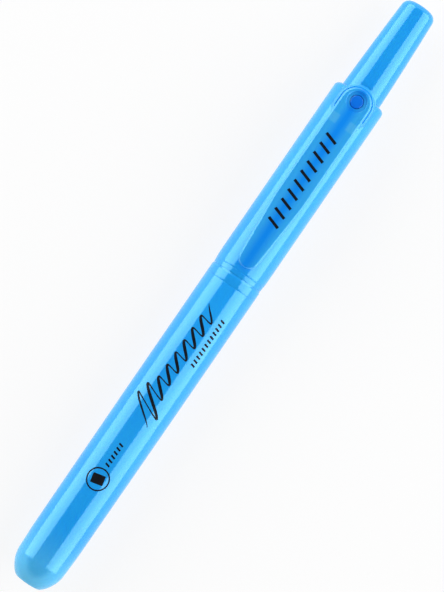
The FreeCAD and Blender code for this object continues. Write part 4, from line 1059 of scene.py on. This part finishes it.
def build_shutter_spring(side, material):
    """Torsion spring on a hinge pin, as its coil with the fixed leg and its moving leg."""
    low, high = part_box(f"hinge_pin_{side}")
    hinge = (low + high) / 2
    upwards = 1 if hinge.z < AXIS_Z else -1
    closed = joint(f"shutter_{side}_swing")["range_deg"][1]
    mean = 0.45
    wire = 0.08
    half = 0.6
    whole_turns = 6
    fixed_mm = 1.4
    moving_mm = 1.6
    beside = 2.1 * wire

    def place(angle_deg, across_mm):
        """A point of the coil's middle line, by its turn from straight outwards to the nose."""
        angle = math.radians(angle_deg)
        outward = Vector((-math.sin(angle), 0.0, -math.cos(angle) * upwards)) * mean
        return hinge + (outward + Vector((0.0, across_mm, 0.0))) * MM

    turns = whole_turns + closed / 360
    steps = int(turns * COIL_STEPS)
    coil = [
        place(360 * turns * step / steps, -half + 2 * half * step / steps)
        for step in range(steps + 1)
    ]
    reach = Vector((fixed_mm * MM, 0.0, 0.0))
    mesh = bmesh.new()
    wire_along(mesh, [coil[0] + reach, coil[0] + reach / 2, *coil], wire)
    body = to_object(mesh, f"shutter_spring_{side}_coil", material)
    lean = math.radians(closed)
    along = Vector((-math.cos(lean), 0.0, math.sin(lean) * upwards)) * moving_mm * MM
    start = place(closed, half + beside)
    mesh = bmesh.new()
    wire_along(mesh, [start, start + along / 2, start + along], wire)
    leg = to_object(mesh, f"shutter_spring_{side}_leg", material)
    return body, leg


# ------------------------------------------------------------------ stage
def build_floor():
    """Broad white paper floor: it shows as white, and keeps a faint shadow of the pen."""
    material, tree, output = new_material("white_paper_floor")
    paper = add_node(tree, "ShaderNodeBsdfPrincipled", {
        "Base Color": linear("FAFAFA"), "Roughness": 0.9, "Specular IOR Level": 0.2,
    })
    white = add_node(tree, "ShaderNodeEmission", {"Color": linear("FFFFFF"), "Strength": 1.0})
    path = add_node(tree, "ShaderNodeLightPath")
    seen = path.outputs["Is Camera Ray"]
    for kind in ("Is Glossy Ray", "Is Transmission Ray"):
        node = add_node(tree, "ShaderNodeMath", {"operation": "MAXIMUM"})
        tree.links.new(seen, node.inputs[0])
        tree.links.new(path.outputs[kind], node.inputs[1])
        seen = node.outputs[0]
    share = add_node(tree, "ShaderNodeMath", {"operation": "MULTIPLY"})
    tree.links.new(seen, share.inputs[0])
    share.inputs[1].default_value = FLOOR_WHITE
    mix = add_node(tree, "ShaderNodeMixShader", None, Fac=share.outputs[0])
    tree.links.new(paper.outputs["BSDF"], mix.inputs[1])
    tree.links.new(white.outputs["Emission"], mix.inputs[2])
    tree.links.new(mix.outputs["Shader"], output.inputs["Surface"])
    mesh = bmesh.new()
    bmesh.ops.create_grid(mesh, x_segments=1, y_segments=1, size=FLOOR_HALF)
    floor = to_object(mesh, "floor", material)
    return floor


def light_world():
    """Surroundings that are white round the horizon and dim overhead."""
    world = bpy.data.worlds.new("white_studio")
    bpy.context.scene.world = world
    world.use_nodes = True
    tree = world.node_tree
    tree.nodes.clear()
    place = add_node(tree, "ShaderNodeTexCoord")
    axis = add_node(tree, "ShaderNodeSeparateXYZ", None, Vector=place.outputs["Generated"])
    strength = add_node(tree, "ShaderNodeMapRange", {
        "From Min": HORIZON_Z, "From Max": OVERHEAD_Z, "To Min": 1.0, "To Max": OVERHEAD_DIM,
        "interpolation_type": "SMOOTHSTEP",
    }, Value=axis.outputs["Z"])
    background = add_node(tree, "ShaderNodeBackground", {"Color": linear("FFFFFF")},
                          Strength=strength.outputs["Result"])
    add_node(tree, "ShaderNodeOutputWorld", None, Surface=background.outputs["Background"])


def strip_light(name, side, low_deg, high_deg):
    """A long soft panel beside the pen, seen from it between two angles from the zenith."""
    middle = math.radians((low_deg + high_deg) / 2)
    width = 2 * STRIP_DISTANCE * math.tan(math.radians((high_deg - low_deg) / 2))
    data = bpy.data.lights.new(name, "AREA")
    data.shape = "RECTANGLE"
    data.size = STRIP_REACH
    data.size_y = width
    data.energy = STRIP_RADIANCE * math.pi * STRIP_REACH * width
    lamp = bpy.data.objects.new(name, data)
    direction = Vector((0.0, side * math.sin(middle), math.cos(middle)))
    lamp.location = Vector((STRIP_SHIFT, 0.0, AXIS_Z)) + direction * STRIP_DISTANCE
    lamp.matrix_world = Matrix.Translation(lamp.location) @ facing(direction)
    lamp.visible_camera = False
    bpy.context.scene.collection.objects.link(lamp)
    return lamp


def facing(direction):
    """Rotation that points a lamp's -Z against a direction with its X along the pen."""
    z_axis = direction
    x_axis = Vector((1.0, 0.0, 0.0))
    y_axis = z_axis.cross(x_axis)
    return Matrix((x_axis, y_axis, z_axis)).transposed().to_4x4()


def build_camera():
    """Long lens straight above the pen, which lies across the view."""
    data = bpy.data.cameras.new("camera")
    data.type = "PERSP"
    data.sensor_width = 36.0
    data.lens = 135.0
    data.clip_start = 0.01
    data.clip_end = 20.0
    camera = bpy.data.objects.new("camera", data)
    tilt = math.radians(PEN_TILT_DEG)
    right = Vector((math.sin(tilt), -math.cos(tilt), 0.0))
    up = Vector((math.cos(tilt), math.sin(tilt), 0.0))
    distance = VIEW_HEIGHT_MM * MM / 2 / (data.sensor_width / 2 / data.lens)
    offset = right * OFFSET_RIGHT_MM * MM + up * OFFSET_UP_MM * MM
    place = Vector((0.0, 0.0, AXIS_Z + distance)) + offset
    turn = Matrix((right, up, Vector((0.0, 0.0, 1.0)))).transposed().to_4x4()
    camera.matrix_world = Matrix.Translation(place) @ turn
    bpy.context.scene.collection.objects.link(camera)
    bpy.context.scene.camera = camera


# ------------------------------------------------------------------ operators
class HIGHLIGHTER_OT_stage(bpy.types.Operator):
    """Make the floor, the lights and the camera"""
    bl_idname = "highlighter.stage"
    bl_label = "Stage"

    def execute(self, context):
        scene = context.scene
        scene.view_settings.view_transform = "Standard"
        build_camera()
        build_floor()
        light_world()
        strip_light("left_strip", side=1, low_deg=37, high_deg=88)
        strip_light("right_strip", side=-1, low_deg=30, high_deg=87)
        return {"FINISHED"}


class HIGHLIGHTER_OT_barrels(bpy.types.Operator):
    """Make both halves of the barrel and the clip's stud"""
    bl_idname = "highlighter.barrels"
    bl_label = "Barrels"

    def execute(self, context):
        scene = context.scene
        size = in_mm(scene.highlighter_barrel)
        clip = in_mm(scene.highlighter_clip)
        colours = scene.highlighter_colours
        # the barrel's material carries the painted light at the nose
        barrel = tinted_styrene("polished_tinted_styrene", colours.barrel,
                                colours.barrel_thick, colours.barrel_thin, painted_nose_glow=True)
        stand_for(build_front_barrel(size, barrel), "barrel", "barrel_plastic", "front_barrel")
        stand_for(build_rear_barrel(size, clip, barrel), "barrel", "barrel_plastic", "rear_barrel")
        stud = tinted_styrene("polished_tinted_styrene_stud", colours.stud, "0A70E6", "1480F4")
        stand_for(build_stud(clip, stud), "barrel", "barrel_plastic")
        return {"FINISHED"}


class HIGHLIGHTER_OT_clip(bpy.types.Operator):
    """Make the clip and the bump under it"""
    bl_idname = "highlighter.clip"
    bl_label = "Clip"

    def execute(self, context):
        size = in_mm(context.scene.highlighter_clip)
        colours = context.scene.highlighter_colours
        # the clip's material carries painted highlights along its edges and over its hooks
        plastic = tinted_styrene("polished_tinted_styrene_clip_painted_highlights", colours.clip,
                                 "058AFA", "1096FE", painted_clip_highlights=True)
        stand_for(build_clip(size, plastic), "clip", "clip_plastic", "clip")
        stand_for(build_bump(size, plastic), "clip", "clip_plastic")
        return {"FINISHED"}


class HIGHLIGHTER_OT_button(bpy.types.Operator):
    """Make the push button"""
    bl_idname = "highlighter.button"
    bl_label = "Button"

    def execute(self, context):
        size = in_mm(context.scene.highlighter_button)
        colours = context.scene.highlighter_colours
        plastic = tinted_styrene("polished_tinted_styrene_button", colours.barrel,
                                 colours.barrel_thick, colours.barrel_thin)
        stand_for(build_button(size, plastic), "knock", "button_plastic", "knock_button")
        return {"FINISHED"}


class HIGHLIGHTER_OT_print(bpy.types.Operator):
    """Print plain marks on the front barrel and the clip"""
    bl_idname = "highlighter.print"
    bl_label = "Print"

    def execute(self, context):
        ink = pad_print_ink("pad_printed_black_ink")
        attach(build_print(ink), "barrel")
        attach(build_clip_print(ink), "clip")
        return {"FINISHED"}


class HIGHLIGHTER_OT_mechanism(bpy.types.Operator):
    """Make the springs and finish the pieces inside"""
    bl_idname = "highlighter.mechanism"
    bl_label = "Mechanism"

    def execute(self, context):
        steel = drawn_steel("drawn_spring_steel")
        spring = stand_for(build_return_spring(steel), "barrel", "spring_steel", "return_spring")
        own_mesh(spring)
        for side in ("lower", "upper"):
            coil, leg = build_shutter_spring(side, steel)
            stand_for(coil, "barrel", "spring_steel", f"shutter_spring_{side}")
            stand_for(leg, f"shutter_{side}", "spring_steel")
        finishes = {
            moulded_acetal("moulded_acetal"): (
                "plunger", "guide_sleeve", "rotor", "tail_plug", "nib_holder", "seal_tube",
                "shutter_lower", "shutter_upper",
            ),
            extruded_polypropylene("extruded_polypropylene"): ("ink_tube",),
            bonded_fibre("ink_soaked_polyester_fibre", "1583D8", "2FA3EE", 0.3): ("ink_filler",),
            bonded_fibre("ink_soaked_nib_felt", "0E86E0", "37A9F2", 0.18): ("nib",),
            moulded_nitrile("moulded_nitrile"): (
                "wiper_ring", "outer_ring", "gasket_lower", "gasket_upper",
            ),
            drawn_steel("ground_pin_steel", turned=True): ("hinge_pin_lower", "hinge_pin_upper"),
        }
        for material, nodes in finishes.items():
            for node in nodes:
                slots = frame["nodes"][node].data.materials
                slots.clear()
                slots.append(material)
        return {"FINISHED"}


class HIGHLIGHTER_PT_panel(bpy.types.Panel):
    """Sizes, colours and steps of the highlighter"""
    bl_label = "Highlighter"
    bl_idname = "HIGHLIGHTER_PT_panel"
    bl_space_type = "VIEW_3D"
    bl_region_type = "UI"
    bl_category = "Highlighter"

    def draw(self, context):
        for operator in OPERATORS:
            self.layout.operator(operator.bl_idname)
        for attribute, group in PROPERTY_GROUPS.items():
            box = self.layout.box()
            for name in group.__annotations__:
                box.prop(getattr(context.scene, attribute), name)


OPERATORS = (
    HIGHLIGHTER_OT_stage,
    HIGHLIGHTER_OT_barrels,
    HIGHLIGHTER_OT_clip,
    HIGHLIGHTER_OT_button,
    HIGHLIGHTER_OT_print,
    HIGHLIGHTER_OT_mechanism,
)
CLASSES = (*PROPERTY_GROUPS.values(), *OPERATORS, HIGHLIGHTER_PT_panel)


def register():
    """Register the classes and give each scene its sizes and colours."""
    for item in CLASSES:
        bpy.utils.register_class(item)
    for attribute, group in PROPERTY_GROUPS.items():
        setattr(bpy.types.Scene, attribute, bpy.props.PointerProperty(type=group))


def unregister():
    """Take away what register added."""
    for attribute in PROPERTY_GROUPS:
        delattr(bpy.types.Scene, attribute)
    for item in reversed(CLASSES):
        bpy.utils.unregister_class(item)


def main():
    """Make the stage and every piece."""
    register()
    for operator in OPERATORS:
        group, name = operator.bl_idname.split(".")
        getattr(getattr(bpy.ops, group), name)()


if __name__ == "__main__":
    main()
